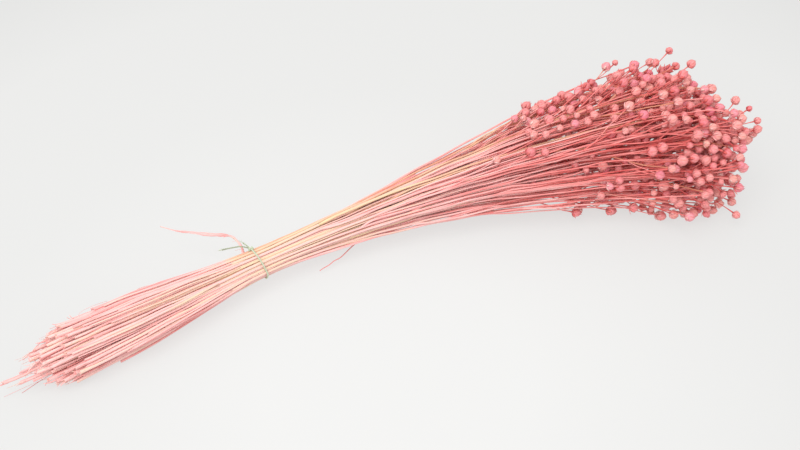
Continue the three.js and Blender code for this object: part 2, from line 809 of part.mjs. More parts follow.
// The cord's loop keeps to the outline of the stems that it holds, a little outside it.
function cordLoop(mains) {
  const corners = mains.flatMap((stem) => {
    const [y, z] = stem.places[TIE_STATION];
    const half = radiusAt(stem, 0) * SQUARE;
    return [
      [y - half, z - half],
      [y - half, z + half],
      [y + half, z - half],
      [y + half, z + half],
    ];
  });
  const outline = [];
  for (let side = 0; side < OUTLINE_SIDES; side++) {
    const turn = (2 * Math.PI * side) / OUTLINE_SIDES;
    const reaches = corners.map(([y, z]) => y * Math.cos(turn) + (z - TIE_HEIGHT) * Math.sin(turn));
    outline.push({ turn, reach: Math.max(...reaches) + CORD_GAP + CORD_RADIUS });
  }
  return (turn) => {
    const limits = outline
      .filter((side) => Math.cos(side.turn - turn) > 0.3)
      .map((side) => side.reach / Math.cos(side.turn - turn));
    const reach = Math.min(...limits);
    const askew = -CORD_TILT * Math.cos(turn - KNOT_TURN);
    const place = [reach * Math.cos(turn), TIE_HEIGHT + reach * Math.sin(turn)];
    return toSpace(Math.min(0, askew), place).addScaledVector(
      new THREE.Vector3(Math.cos(TIE_HEADING), Math.sin(TIE_HEADING), 0),
      Math.max(0, askew),
    );
  };
}

function cordSolid(mains) {
  const loopAt = cordLoop(mains);
  const hub = new THREE.Vector3(0, 0, TIE_HEIGHT);
  const along = new THREE.Vector3(Math.cos(TIE_HEADING), Math.sin(TIE_HEADING), 0);
  const sections = [];
  for (let k = 0; k < CORD_STEPS; k++) {
    const point = loopAt((2 * Math.PI * k) / CORD_STEPS);
    const out = point.clone().sub(hub).projectOnPlane(along).normalize();
    sections.push(ring(point, along, out, CORD_RADIUS, CORD_SIDES, 0));
  }
  const loop = loft(sections, true);
  const seat = loopAt(KNOT_TURN);
  const lifted = seat.clone().sub(hub).projectOnPlane(along).normalize();
  const knotMiddle = seat.clone().addScaledVector(lifted, KNOT.proud);
  const knot = loft(
    KNOT.sections.map((shift) => {
      const width = KNOT.radius * Math.sqrt(1 - (shift / KNOT.roundness) ** 2);
      const middle = knotMiddle.clone().addScaledVector(along, shift);
      return ringAcross(middle, along, width, KNOT.sides, 0);
    }),
  );
  const tails = CORD_TAILS.map((points) =>
    whiskerGeometry([knotMiddle, ...points], CORD_RADIUS, TAIL_NARROWING, CORD_SIDES),
  );
  return fuse([loop, knot, ...tails]);
}

function floorSlab() {
  const { length, width, depth } = FLOOR_SLAB;
  const slab = new THREE.BoxGeometry(length, width, depth);
  slab.deleteAttribute("normal");
  slab.deleteAttribute("uv");
  return solidFrom(mergeVertices(slab.translate(0, 0, -depth / 2)));
}

function plantSolid(plant, stems, branches) {
  const main = stems[plant];
  const pieces = [
    ...stems.filter((stem) => stem.plant === plant).map(stemGeometry),
    ...branches.filter((branch) => branch.plant === plant).map(branchGeometry),
  ];
  for (const { at, points, radius, narrowing } of [STRIP, TENDRIL].filter((w) => w.plant === plant)) {
    pieces.push(whiskerGeometry([pointAt(main, at), ...points], radius, narrowing));
  }
  const solid = fuse(pieces);
  return solid.boundingBox().min[2] < 0 ? solid.subtract(floorSlab()) : solid;
}

const allStems = makeStems();
const crowd = new Crowd();
allStems.forEach((stem) => crowd.addLine(stemLine(stem).slice(stem.parent ? 1 : 0), stem));
const forked = allStems.filter((stem) => !stem.parent || placeFork(stem, crowd));
const draw = randomStream(SEED + 7);
const stems = forked.filter((stem) => placeTip(stem, crowd, draw));
const branches = placeBranches(stems, crowd, draw);

const bunch = new THREE.Group();
for (let plant = 0; plant < PLANTS; plant++) {
  const hue = PLANT_COLOUR.hue + PLANT_COLOUR.hues * draw();
  const lightness = PLANT_COLOUR.lightness + PLANT_COLOUR.range * draw();
  const colour = new THREE.Color().setHSL(hue, PLANT_COLOUR.saturation, lightness);
  const material = new THREE.MeshStandardMaterial({ color: colour, roughness: 0.8, metalness: 0 });
  const mesh = new THREE.Mesh(geometryFrom(plantSolid(plant, stems, branches)), material);
  mesh.name = `plant_${String(plant + 1).padStart(2, "0")}`;
  bunch.add(mesh);
}
const cord = new THREE.Mesh(
  geometryFrom(cordSolid(stems.slice(0, PLANTS))),
  new THREE.MeshStandardMaterial({ color: CORD_COLOUR, roughness: 0.9, metalness: 0 }),
);
cord.name = "tie";
bunch.add(cord);
bunch.position.copy(FOOTPRINT_MIDDLE).negate();

export default bunch;
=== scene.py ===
"""A bunch of dyed dried flax, lying on its side and tied with a thin green cord.

The layout is worked out in millimetres from the cord, by the same seeded rule as the part's
solids, so that each fine plant keeps to the node that it stands for.
"""

import json
import math
from types import SimpleNamespace as Values

import bpy
import numpy as np
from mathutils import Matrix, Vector

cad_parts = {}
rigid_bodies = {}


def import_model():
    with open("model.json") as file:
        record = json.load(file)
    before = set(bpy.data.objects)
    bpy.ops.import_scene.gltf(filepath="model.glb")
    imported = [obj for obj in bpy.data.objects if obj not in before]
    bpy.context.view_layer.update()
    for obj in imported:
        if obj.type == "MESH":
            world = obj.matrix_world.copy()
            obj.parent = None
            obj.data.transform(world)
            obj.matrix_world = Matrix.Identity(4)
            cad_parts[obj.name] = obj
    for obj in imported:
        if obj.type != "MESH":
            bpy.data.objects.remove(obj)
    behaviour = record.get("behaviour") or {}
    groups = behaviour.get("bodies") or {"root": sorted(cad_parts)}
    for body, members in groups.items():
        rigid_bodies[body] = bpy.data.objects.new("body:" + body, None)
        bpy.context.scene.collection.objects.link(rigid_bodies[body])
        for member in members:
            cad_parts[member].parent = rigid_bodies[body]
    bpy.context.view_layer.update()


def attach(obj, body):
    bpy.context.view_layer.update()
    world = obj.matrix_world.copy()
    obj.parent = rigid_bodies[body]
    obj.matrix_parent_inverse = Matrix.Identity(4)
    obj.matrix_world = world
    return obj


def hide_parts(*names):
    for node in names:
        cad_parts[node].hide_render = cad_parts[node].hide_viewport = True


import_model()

# The camera, at the photograph's viewing angle

AIM = Vector((0.01739, 0.02494, 0))
AZIMUTH = math.radians(-20.8)
ELEVATION = math.radians(47)
DISTANCE = 0.850
LENS = 49.5
CLIP = (0.01, 20)


def stand(name, data, place, away):
    """Puts a camera or a light at a place, so that it looks against the direction away."""
    made = bpy.data.objects.new(name, data)
    made.location = place
    made.rotation_mode = "QUATERNION"
    made.rotation_quaternion = (-away).to_track_quat("-Z", "Y")
    bpy.context.scene.collection.objects.link(made)
    return made


level = math.cos(ELEVATION)
away = Vector((math.sin(AZIMUTH) * level, -math.cos(AZIMUTH) * level, math.sin(ELEVATION)))
camera = stand("camera", bpy.data.cameras.new("camera"), AIM + away * DISTANCE, away)
camera.data.lens = LENS
camera.data.clip_start, camera.data.clip_end = CLIP
bpy.context.scene.camera = camera
bpy.context.scene.view_settings.view_transform = "Standard"

# The layout's measures, in millimetres, shares and degrees

FOOTPRINT_MIDDLE = np.array([98.36, -7.66, 0.0])
PLANTS = 54
SEED = 20261
STREAMS = Values(tips=7, cluster=33, shell=35, twigs=21, detail=40, followers=60)
TIE_HEADING = math.radians(10.4)
BEND_RADIUS = 850.0
PACKED = 11.0
LATTICE = 2.85
LATTICE_SHIFT = (0.31, 0.17)
LATTICE_REACH = 9
TIE_HEIGHT = 20.0
BUTT = Values(length=180, wider=15, widening=0.75, higher=2, drop=5.5, turn=0.35)
HEAD = Values(length=385, wider=52, widening=1.15, higher=34, lift=26, turn=0.29)
CROWN = Values(start=195, full=270, far=6, above=2, swell=7)
LOW_CROWN = Values(start=265, full=325, least=-8, swell=14)
CROWN_SQUARENESS = Values(above=2, below=2.9)
BACK = 205
FRONT = Values(at=378, slant=27, near=7, stray=0.5)
AHEAD = Values(across=-0.3, above=0.45, within=0.4, by=30)
EARLY = Values(across=0.68, above=0.68, within=0.4, share=0.7, tip=240, ragged=34)
WANDER = Values(butt=5, neck=2, neck_length=60, head=13, height=0.8)
FLARE_START = 5
STATIONS = [-225, -170, -85, 0, 65, 130, 195, 260, 320, 380]
TIE_STATION = STATIONS.index(0)

STEM_RADIUS = (1.14, 0.2)
SHOOT_RADIUS = (0.84, 0.14)
TAPER = 0.58
BUTT_END = Values(at=-160, ragged=18, round=30, slant=5)
LONG_BUTTS = {1: -190, 10: -180}
TIP_END = Values(at=352, ragged=55, unevenness=1.5, slant=4, rise=5)
SHORT_TIPS = Values(share=0.14, by=70)
SHOOT_DROP = 55
SHOOT_DROP_UNEVENNESS = 1.4
SHOOT_THINS_FROM = 60
SHOOT_APART = 0.6
SHOOT_FORKS = Values(first=4, count=3)
SHOOT_ROOT = 15
SHOOT_SIDE = 2.6
SHOOT_LEAVE = 150

CAPSULE_RADIUS = (2.8, 1.1)
SMALL_CAPSULE = Values(least=2.2, range=0.5, share=0.1)
CAPSULE_SEAT = 0.92
CAPSULE_REACH = 1.07
STALK = Values(radius=0.5, least=12, range=16, lean=4, spread=24)
BRANCH = Values(radius=0.55, least=26, range=40, lean=8, spread=22)
BRANCH_ELBOW = Values(along=0.45, off=0.62)
BRANCHES = 3
BRANCH_NUMBERS = 1000
BRANCH_ZONE = Values(clear=18, length=62)
ROOT_CLEAR = 8
STRAY = Values(share=0.08, slack=8)
OUTWARD_BIAS = 0.7
ROOT_STRETCH = 0.12
FORK_STRETCH = 0.8
TRIES = 40
TIP_TRIES = Values(strict=20, slack=3, loose_slack=12, to_shorten=6, shorten=6)
FORK_STEP = 6
SHORTEST = 45
GAP = 0.35
CORNER = 1.25
SQUARE = CORNER / math.sqrt(2)
SETTLE = Values(rounds=260, last=60, push=0.5, pull=0.02, spread=0.28, room=0.15)
NEAR_TIE = 55
ON_FLOOR = Values(sink=0.25, within=2.5, lift=14)
NEARBY = 4

CORD_RADIUS = 0.65
CORD_TILT = 1.8
KNOT_TURN = math.radians(55)
CORD_TAILS = (
    ((-9, 11.5, 30.5), (-15, 14.5, 28.5), (-22.3, 17.5, 26)),
    ((-5.9, 10.4, 32.4), (-7.4, 12.6, 32.9)),
)
STRIP_PLANT = 52
STRIP_FROM = -7
STRIP = (
    (-8.2, 14, 26), (-9.4, 20.7, 26), (-12.2, 27.1, 26), (-17.2, 31.1, 26),
    (-27.5, 35.5, 25.5), (-39.8, 44, 25), (-49.8, 49, 24.5), (-59, 58.5, 24),
)
TENDRIL_PLANT = 50
TENDRIL_FROM = 78
TENDRIL = ((60.5, -3.2, 6.5), (52.5, -5.5, 5.5), (42.5, -9, 4.4))

# The finer growth that only this scene has. Capsules are let closer together here, and those
# carried to places on the outside of the head sink into each other by up to this much.
TIGHT_GAP = -0.5
FINE_GAP = 0.0
TWIG = Values(radius=0.42, least=16, range=34, lean=8, spread=30)
TWIGS = 7
TWIG_NUMBERS = 3000
TWIG_TRIES = 14
TWIG_ZONE = Values(clear=8, length=80)
ON_BRANCH = Values(share=0.5, first=0.2, length=0.5, near=0.02)
CARRIED = Values(least=18, range=28, last=346, root=12, tip=2, inward=0.9, lower=0.1, under=3,
                 along=0.5, off=0.3)
CLUSTER = Values(tries=60, start=212, length=58, near=-14, far=36, above=6)
LONE = (
    (160, 2, 54), (188, -11, 59), (191, -21, 56), (204, -22, 58), (213, -16, 64), (223, -20, 65),
    (233, -29, 62), (239, -30, 62), (293, 46, 80), (300, 47, 82), (303, 47, 78), (374, -12, 84),
    (378, -17, 85), (382, -21, 83), (382, -9, 67), (380, -12, 63), (390, -24, 73), (390, -28, 68),
    (386, -15, 53), (388, -22, 53), (374, -64, 14), (378, -61, 14), (377, -43, 14),
    (375, -50, 14), (368, -53, 14), (361, -52, 14), (350, -60, 14), (338, 17, 90), (347, 8, 92),
    (340, -4, 91), (350, -16, 90), (331, 46, 78),
)
SHELL = Values(tries=1800, rim=0.35, side=0.8, start=262, forward=1.5, deep=26)
FOLLOWERS = 3
FOLLOWER = Values(radius=0.52, start=12, root=20, range=140, near=1.8, leaves=5, spread=14,
                  narrow=0.25, drifts=1.5, swing=3.4, ahead=22, drop=95, unevenness=1.4,
                  dyed=0.2, tries=8)
FOOT_SHOOTS = 5
FOOT_SHOOT = Values(start=-8, stop=4, ragged=34, turning=1.6, reach=1.0, off=1.0, more=1.3,
                    leaves=2.5, radius=0.55, thicker=0.3, dyed=0.04)
BRIDGE = ((90, -10, 31), (128, -15, 35.5), (165, -16.5, 37.5), (205, -20, 41), (250, -26, 45))
BRIDGES = ((0, 0), (1.8, 1.2), (-1.8, -1.4), (0.4, -2.8), (2.8, -1.4), (-1, 1.6), (-3.4, -3))
BRIDGE_ROOT = 12
BRIDGE_STEPS = 8
BRIDGE_RADIUS = (0.95, 0.45)
FILLERS = ((36, -50), (36, -50), (120, 40), (160, 30), (200, 90), (230, 120))
FILLER = Values(radius=0.52, ragged=60, turning=2.4, reach=1.6, off=0.3, more=0.7, over=60,
                ends=15, widths=(0.7, 1, 1, 0.5))
THIN_STEP = 8
NOT_STRAW = 0.85

UP = np.array([0.0, 0.0, 1.0])
ACROSS = np.array([0.0, 1.0, 0.0])
ALONG_TIE = np.array([math.cos(TIE_HEADING), math.sin(TIE_HEADING), 0.0])
TURN = 2 * math.pi
MASK = 0xFFFFFFFF


def random_stream(seed):
    """Mulberry32: the same run of numbers from 0 to 1 for the same seed."""
    state = seed & MASK

    def draw():
        nonlocal state
        state = (state + 0x6D2B79F5) & MASK
        t = ((state ^ (state >> 15)) * (state | 1)) & MASK
        t ^= (t + (((t ^ (t >> 7)) * (t | 61)) & MASK)) & MASK
        return ((t ^ (t >> 14)) & MASK) / (MASK + 1)

    return draw


def clamp(value, low=0.0, high=1.0):
    return min(high, max(low, value))


def smooth(value, low, high):
    t = clamp((value - low) / (high - low))
    return t * t * (3 - 2 * t)


def unit(vector):
    return vector / math.sqrt(float(vector @ vector))


def square_to(axis):
    """Two directions square to an axis and to each other."""
    left = unit(np.cross(UP, axis))
    return left, np.cross(axis, left)


def towards(first, second, turn):
    """The direction that is turned from the first towards the second."""
    return first * math.cos(turn) + second * math.sin(turn)


# The sheaf's form


def flare(s):
    return smooth(s, FLARE_START, FLARE_START + HEAD.length)


def butt_share(s):
    return max(0.0, -s / BUTT.length)


def half_width(s):
    spread = BUTT.wider * butt_share(s) ** BUTT.widening
    return PACKED + HEAD.wider * flare(s) ** HEAD.widening + spread


def half_height(s):
    return PACKED + HEAD.higher * flare(s) + BUTT.higher * butt_share(s)


def middle_height(s):
    return TIE_HEIGHT + HEAD.lift * flare(s) - BUTT.drop * butt_share(s)


def twist(s):
    return BUTT.turn * s / BUTT.length if s < 0 else HEAD.turn * s / HEAD.length


def wander(s):
    in_neck = WANDER.neck * clamp(s / WANDER.neck_length)
    return WANDER.butt * butt_share(s) + in_neck + WANDER.head * flare(s)


def to_space(s, y, z):
    """A point at station s, y to the far side of the middle line and z above the floor."""
    heading = TIE_HEADING - max(0.0, s) / BEND_RADIUS
    x, middle = s * math.cos(heading), s * math.sin(heading)
    if s > 0:
        x = BEND_RADIUS * (math.sin(TIE_HEADING) - math.sin(heading))
        middle = BEND_RADIUS * (math.cos(heading) - math.cos(TIE_HEADING))
    return np.array([x - math.sin(heading) * y, middle + math.cos(heading) * y, z])


def from_space(point):
    """The same three numbers back from a point past the tie."""
    dx = point[0] - BEND_RADIUS * math.sin(TIE_HEADING)
    dy = point[1] + BEND_RADIUS * math.cos(TIE_HEADING)
    s = (TIE_HEADING - math.atan2(-dx, dy)) * BEND_RADIUS
    return s, math.hypot(dx, dy) - BEND_RADIUS, point[2]


# The stems


def lattice_homes():
    homes = []
    for a in range(-LATTICE_REACH, LATTICE_REACH + 1):
        for b in range(-LATTICE_REACH, LATTICE_REACH + 1):
            x = (a + b / 2 + LATTICE_SHIFT[0]) * LATTICE
            y = ((b * math.sqrt(3)) / 2 + LATTICE_SHIFT[1]) * LATTICE
            homes.append((x / PACKED, y / PACKED))
    homes.sort(key=lambda home: math.hypot(*home))
    return homes[:PLANTS]


def patch_share(patch, across, above):
    return max(0.0, 1 - math.hypot(across - patch.across, above - patch.above) / patch.within)


def turned(u, v, s):
    """A place in the section at the tie, turned as the sheaf is at station s."""
    t = twist(s)
    return u * math.cos(t) - v * math.sin(t), u * math.sin(t) + v * math.cos(t)


def make_main(plant, home, draw):
    u, v = home
    in_section = turned(u, v, HEAD.length)
    base = STEM_RADIUS[0] + STEM_RADIUS[1] * draw()
    ragged = BUTT_END.ragged * draw()
    cut = BUTT_END.at - ragged + BUTT_END.round * (u * u + v * v) + BUTT_END.slant * u
    luck = draw()
    tip = TIP_END.at - TIP_END.ragged * draw() ** TIP_END.unevenness
    tip -= TIP_END.slant * u + TIP_END.rise * v
    tip += AHEAD.by * patch_share(AHEAD, *in_section)
    if luck < EARLY.share and patch_share(EARLY, *in_section) > 0:
        tip = EARLY.tip - EARLY.ragged * draw()
    elif luck < SHORT_TIPS.share:
        tip -= SHORT_TIPS.by * draw()
    butt_turn, butt_wander, head_turn, head_wander = (
        TURN * draw(), draw(), TURN * draw(), draw()
    )
    return Values(
        plant=plant, parent=None, u=u, v=v, base=base, butt=LONG_BUTTS.get(plant, cut), tip=tip,
        butt_turn=butt_turn, butt_wander=butt_wander, head_turn=head_turn,
        head_wander=head_wander, thin_from=-BUTT.length,
    )


def make_shoot(main, draw):
    side = TURN * draw()
    reach = SHOOT_APART * LATTICE / PACKED
    u, v = main.u + reach * math.cos(side), main.v + reach * math.sin(side)
    out = max(1.0, math.hypot(u, v))
    base = SHOOT_RADIUS[0] + SHOOT_RADIUS[1] * draw()
    first = SHOOT_FORKS.first + math.floor(SHOOT_FORKS.count * draw())
    tip = max(BACK, main.tip - SHOOT_DROP * draw() ** SHOOT_DROP_UNEVENNESS)
    head_turn, head_wander = TURN * draw(), draw()
    return Values(
        plant=main.plant, parent=main, side=side, u=u / out, v=v / out, base=base, first=first,
        butt=STATIONS[first], tip=tip, head_turn=head_turn, head_wander=head_wander,
        thin_from=SHOOT_THINS_FROM,
    )


def radius_at(stem, s):
    thinned = clamp((s - stem.thin_from) / (stem.tip - stem.thin_from))
    return stem.base * (1 - TAPER * thinned)


def home_places(stem):
    places = []
    for k, s in enumerate(STATIONS):
        at_butt = s < 0 and stem.parent is None
        turn = stem.butt_turn if at_butt else stem.head_turn
        stray = wander(s) * (stem.butt_wander if at_butt else stem.head_wander)
        across, above = turned(stem.u, stem.v, s)
        y = half_width(s) * across + stray * math.cos(turn)
        z = middle_height(s) + half_height(s) * above + WANDER.height * stray * math.sin(turn)
        if stem.parent is not None:
            leave = smooth(s - STATIONS[stem.first], 0, SHOOT_LEAVE)
            parent_y, parent_z = stem.parent.places[k]
            y = (parent_y + SHOOT_SIDE * math.cos(stem.side)) * (1 - leave) + y * leave
            z = (parent_z + SHOOT_SIDE * math.sin(stem.side)) * (1 - leave) + z * leave
        places.append((y, z))
    return places


def settle(stems):
    """Pushes stems apart until no two touch between one station and the next."""
    stations = np.array(STATIONS, float)
    homes = np.array([stem.places for stem in stems])
    places = homes.copy()
    radii = np.array([[radius_at(stem, s) for s in STATIONS] for stem in stems])
    start = np.array([s.butt if s.parent is None else STATIONS[s.first] for s in stems])
    tips = np.array([stem.tip for stem in stems])
    live = (stations[None, 1:] > start[:, None]) & (stations[None, :-1] < tips[:, None])
    meet = live[:, None, :] & live[None, :, :]
    meet[np.arange(len(stems)), np.arange(len(stems))] = False
    loose = np.minimum(1, np.abs(stations) / NEAR_TIE)
    need = (radii[:, None] + radii[None]) * (1 + SETTLE.spread * loose)
    need = need + SETTLE.room * (1 + loose)
    floor = radii * SQUARE
    free = np.ones((len(STATIONS), 1))
    free[TIE_STATION] = 0
    for turn in range(SETTLE.rounds):
        apart = places[None] - places[:, None]
        first = apart[:, :, :-1]
        change = apart[:, :, 1:] - first
        share = -(first * change).sum(3) / ((change * change).sum(3) + 1e-9)
        t = np.clip(share, 0, 1)
        nearest = first + change * t[..., None]
        gap = np.sqrt((nearest * nearest).sum(3)) + 1e-9
        wanted = need[:, :, :-1] * (1 - t) + need[:, :, 1:] * t
        short = np.where(meet, np.maximum(0, wanted - gap), 0)
        evened = t * t + (1 - t) * (1 - t)
        step = nearest * ((short / gap) * 0.5 * SETTLE.push / evened)[..., None]
        moves = np.zeros_like(places)
        moves[:, :-1] -= (step * (1 - t)[..., None]).sum(1)
        moves[:, 1:] -= (step * t[..., None]).sum(1)
        if turn < SETTLE.rounds - SETTLE.last:
            moves += SETTLE.pull * (homes - places)
        places += moves * free
        places[:, :, 1] = np.maximum(places[:, :, 1], floor)
    for stem, row in zip(stems, places):
        stem.places = [(float(y), float(z)) for y, z in row]


def make_stems():
    draw = random_stream(SEED)
    mains = [make_main(plant, home, draw) for plant, home in enumerate(lattice_homes())]
    stems = mains + [make_shoot(main, draw) for main in mains]
    for stem in stems:
        stem.places = home_places(stem)
    settle(stems)
    for number, stem in enumerate(stems):
        stem.number = number
        stem.points = [to_space(s, *place) for s, place in zip(STATIONS, stem.places)]
    return stems


def point_at(stem, s):
    k = 0
    while k < len(STATIONS) - 2 and STATIONS[k + 1] < s:
        k += 1
    share = clamp((s - STATIONS[k]) / (STATIONS[k + 1] - STATIONS[k]))
    return stem.points[k] + (stem.points[k + 1] - stem.points[k]) * share


def direction_at(stem, s):
    return unit(point_at(stem, s + NEARBY) - point_at(stem, s - NEARBY))


def stem_line(stem):
    """A stem's stations, points and radii from its cut end, or its root, to its tip."""
    line = []
    if stem.parent is not None:
        line.append((stem.butt - SHOOT_ROOT, point_at(stem.parent, stem.butt - SHOOT_ROOT)))
    line.append((stem.butt, point_at(stem, stem.butt)))
    for s, point in zip(STATIONS, stem.points):
        if stem.butt + NEARBY < s < stem.tip - NEARBY:
            line.append((s, point))
    line.append((stem.tip, point_at(stem, stem.tip)))
    return [(s, point, radius_at(stem, s)) for s, point in line]


def nearest(stems, point, place):
    """The stem whose place, as the function place gives it, is nearest to a point."""
    return min(stems, key=lambda stem: float(np.linalg.norm(place(stem) - point)))


def gap_between(p0, p1, a, b):
    """Distances from the stretch p0-p1 to many stretches a-b."""
    first = p1 - p0
    second = b - a
    between = p0 - a
    first_squared = float(first @ first) + 1e-12
    second_squared = (second * second).sum(1) + 1e-12
    across = second @ first
    on_first = between @ first
    on_second = (second * between).sum(1)
    spread = first_squared * second_squared - across * across
    wide = (across * on_second - on_first * second_squared) / np.maximum(spread, 1e-9)
    s = np.where(spread > 1e-9, np.clip(wide, 0, 1), 0.0)
    t = (across * s + on_second) / second_squared
    s = np.where(t < 0, np.clip(-on_first / first_squared, 0, 1), s)
    s = np.where(t > 1, np.clip((across - on_first) / first_squared, 0, 1), s)
    apart = (p0 + np.outer(s, first)) - (a + second * np.clip(t, 0, 1)[:, None])
    return np.sqrt((apart * apart).sum(1))


def gap_to_point(point, a, b):
    along = b - a
    share = ((point - a) * along).sum(1) / ((along * along).sum(1) + 1e-12)
    apart = a + along * np.clip(share, 0, 1)[:, None] - point
    return np.sqrt((apart * apart).sum(1))


class Crowd:
    """What is already in place, as straight stretches of stem and round capsules."""

    def __init__(self):
        self.gap = GAP
        self.a = np.zeros((0, 3))
        self.b = np.zeros((0, 3))
        self.radius = np.zeros(0)
        self.owner = np.zeros(0, int)
        self.middles = np.zeros((0, 3))
        self.reaches = np.zeros(0)

    def add_line(self, points, radii, owner):
        widths = [max(pair) for pair in zip(radii[:-1], radii[1:])]
        self.a = np.vstack([self.a, points[:-1]])
        self.b = np.vstack([self.b, points[1:]])
        self.radius = np.append(self.radius, widths)
        self.owner = np.append(self.owner, [owner] * len(widths))

    def add_stem(self, line, owner):
        self.add_line([point for _, point, _ in line], [radius for _, _, radius in line], owner)

    def add_ball(self, capsule):
        self.middles = np.vstack([self.middles, [capsule.middle]])
        self.reaches = np.append(self.reaches, capsule.radius * CAPSULE_REACH)

    def remove_line(self, owner):
        keep = self.owner != owner
        self.a, self.b = self.a[keep], self.b[keep]
        self.radius, self.owner = self.radius[keep], self.owner[keep]

    def has_room_for_line(self, a, b, radius, skip=()):
        keep = ~np.isin(self.owner, skip) if len(skip) else slice(None)
        gaps = gap_between(a, b, self.a[keep], self.b[keep])
        if (gaps < (self.radius[keep] + radius) * CORNER + self.gap).any():
            return False
        along = b - a
        share = np.clip((self.middles - a) @ along / (along @ along), 0, 1)
        apart = self.middles - (a + np.outer(share, along))
        gaps = np.sqrt((apart * apart).sum(1))
        return not (gaps < self.reaches + radius * CORNER + self.gap).any()

    def has_room_for_ball(self, middle, radius):
        reach = radius * CAPSULE_REACH
        gaps = gap_to_point(middle, self.a, self.b)
        if (gaps < self.radius * CORNER + reach + self.gap).any():
            return False
        gaps = np.sqrt(((self.middles - middle) ** 2).sum(1))
        return not (gaps < self.reaches + reach + self.gap).any()


crowd = Crowd()


def front_at(across, above):
    slanted = FRONT.at - FRONT.slant * max(0.0, across + above)
    return slanted - FRONT.near * max(0.0, -across) ** 2


def inside_head(middle, slack):
    s, y, z = from_space(middle)
    swell = smooth(s, CROWN.start, CROWN.full)
    low_swell = LOW_CROWN.least + LOW_CROWN.swell * smooth(s, LOW_CROWN.start, LOW_CROWN.full)
    width = half_width(s) + (CROWN.far * swell if y > 0 else low_swell) + slack
    height = half_height(s) + CROWN.above + CROWN.swell * swell + slack
    across, above = y / width, (z - middle_height(s)) / height
    front = front_at(across, above) + AHEAD.by * patch_share(AHEAD, across, above)
    front = front + FRONT.stray * slack
    power = CROWN_SQUARENESS.above if above > 0 else CROWN_SQUARENESS.below
    return abs(across) ** power + abs(above) ** power <= 1 and BACK < s < front


def place_fork(shoot):
    while shoot.butt < shoot.tip - SHORTEST:
        line = stem_line(shoot)
        own = [shoot.number, shoot.parent.number]
        root, fork = line[0][1], line[1][1]
        if crowd.has_room_for_line(root, fork, FORK_STRETCH * line[1][2], own):
            crowd.remove_line(shoot.number)
            crowd.add_stem(line, shoot.number)
            return True
        shoot.butt += FORK_STEP
    crowd.remove_line(shoot.number)
    return False


def capsule_radius(draw):
    size = draw()
    if draw() > SMALL_CAPSULE.share:
        return CAPSULE_RADIUS[0] + CAPSULE_RADIUS[1] * size
    return SMALL_CAPSULE.least + SMALL_CAPSULE.range * size


def outwards(along, draw):
    return towards(*square_to(along), TURN * draw())


def capsule_on(end, axis, radius):
    return Values(radius=radius, axis=axis, middle=end + axis * radius * CAPSULE_SEAT)


def place_tip(stem, draw):
    """Gives a stem its bent stalk and capsule, or returns False where it gets too short."""
    radius = capsule_radius(draw)
    crowd.remove_line(stem.number)
    tries = 0
    while stem.tip > stem.butt + SHORTEST:
        line = stem_line(stem)
        before, last = line[-2][1], line[-1][1]
        along = unit(last - before)
        out = outwards(along, draw)
        length = STALK.least + STALK.range * draw()
        lean = math.tan(math.radians(STALK.lean + STALK.spread * draw()))
        way = along + out * lean
        end = last + way * length
        capsule = capsule_on(end, unit(way), radius)
        slack = TIP_TRIES.loose_slack if tries > TIP_TRIES.strict else TIP_TRIES.slack
        if (
            capsule.middle[2] > radius
            and inside_head(capsule.middle, slack)
            and crowd.has_room_for_ball(capsule.middle, radius)
            and crowd.has_room_for_line(last, end, STALK.radius)
        ):
            stem.capsule = capsule
            stem.line = [*line, (stem.tip + length, end, STALK.radius)]
            crowd.add_stem(stem.line, stem.number)
            crowd.add_ball(capsule)
            return True
        if (tries + 1) % TIP_TRIES.to_shorten == 0:
            stem.tip -= TIP_TRIES.shorten
        tries += 1
    return False


def curve_middle(curve):
    root, elbow, end = curve
    return root * 0.25 + elbow * 0.5 + end * 0.25


def bezier(curve, t):
    root, elbow, end = curve
    return root * (1 - t) ** 2 + elbow * 2 * t * (1 - t) + end * t * t


def grow(root, along, s, form, host, draw):
    """One side branch from a host's root point, or None where it has no room."""
    radius = capsule_radius(draw)
    from_middle = unit(root - to_space(s, 0, middle_height(s)))
    out = outwards(along, draw) + from_middle * OUTWARD_BIAS
    out = unit(out - along * float(out @ along))
    length = form.least + form.range * draw()
    angle = math.radians(form.lean + form.spread * draw())
    slack = STRAY.slack if draw() < STRAY.share else 0
    off = length * math.tan(angle)
    elbow = root + along * length * BRANCH_ELBOW.along + out * off * BRANCH_ELBOW.off
    end = root + along * length + out * off
    capsule = capsule_on(end, unit(end - elbow), radius)
    on_floor = radius - ON_FLOOR.sink
    if capsule.middle[2] < on_floor + ON_FLOOR.within:
        lift = on_floor - capsule.middle[2]
        if lift > ON_FLOOR.lift:
            return None
        end = end + UP * lift
        elbow = elbow + UP * lift / 2
        capsule = capsule_on(end, unit(end - elbow), radius)
        capsule.middle[2] = on_floor
        end = capsule.middle - capsule.axis * radius * CAPSULE_SEAT
    curve = (root, elbow, end)
    middle = curve_middle(curve)
    clear_of_host = root + (middle - root) * ROOT_STRETCH
    fits = (
        inside_head(capsule.middle, slack)
        and min(middle[2], end[2]) > form.radius * CORNER
        and crowd.has_room_for_ball(capsule.middle, radius)
        and crowd.has_room_for_line(clear_of_host, middle, form.radius, [host])
        and crowd.has_room_for_line(middle, end, form.radius)
    )
    return Values(curve=curve, radius=form.radius, capsule=capsule, s=s, t=None) if fits else None


def join(branch, number):
    root, _, end = branch.curve
    branch.number = number
    crowd.add_line([root, curve_middle(branch.curve), end], [branch.radius] * 3, number)
    crowd.add_ball(branch.capsule)


def root_on(host, zone, draw):
    """A station, its point and its direction on a stem, some way back from its tip."""
    back = host.tip - zone.clear - zone.length * draw()
    s = max(host.butt + ROOT_CLEAR, back)
    return point_at(host, s), direction_at(host, s), s


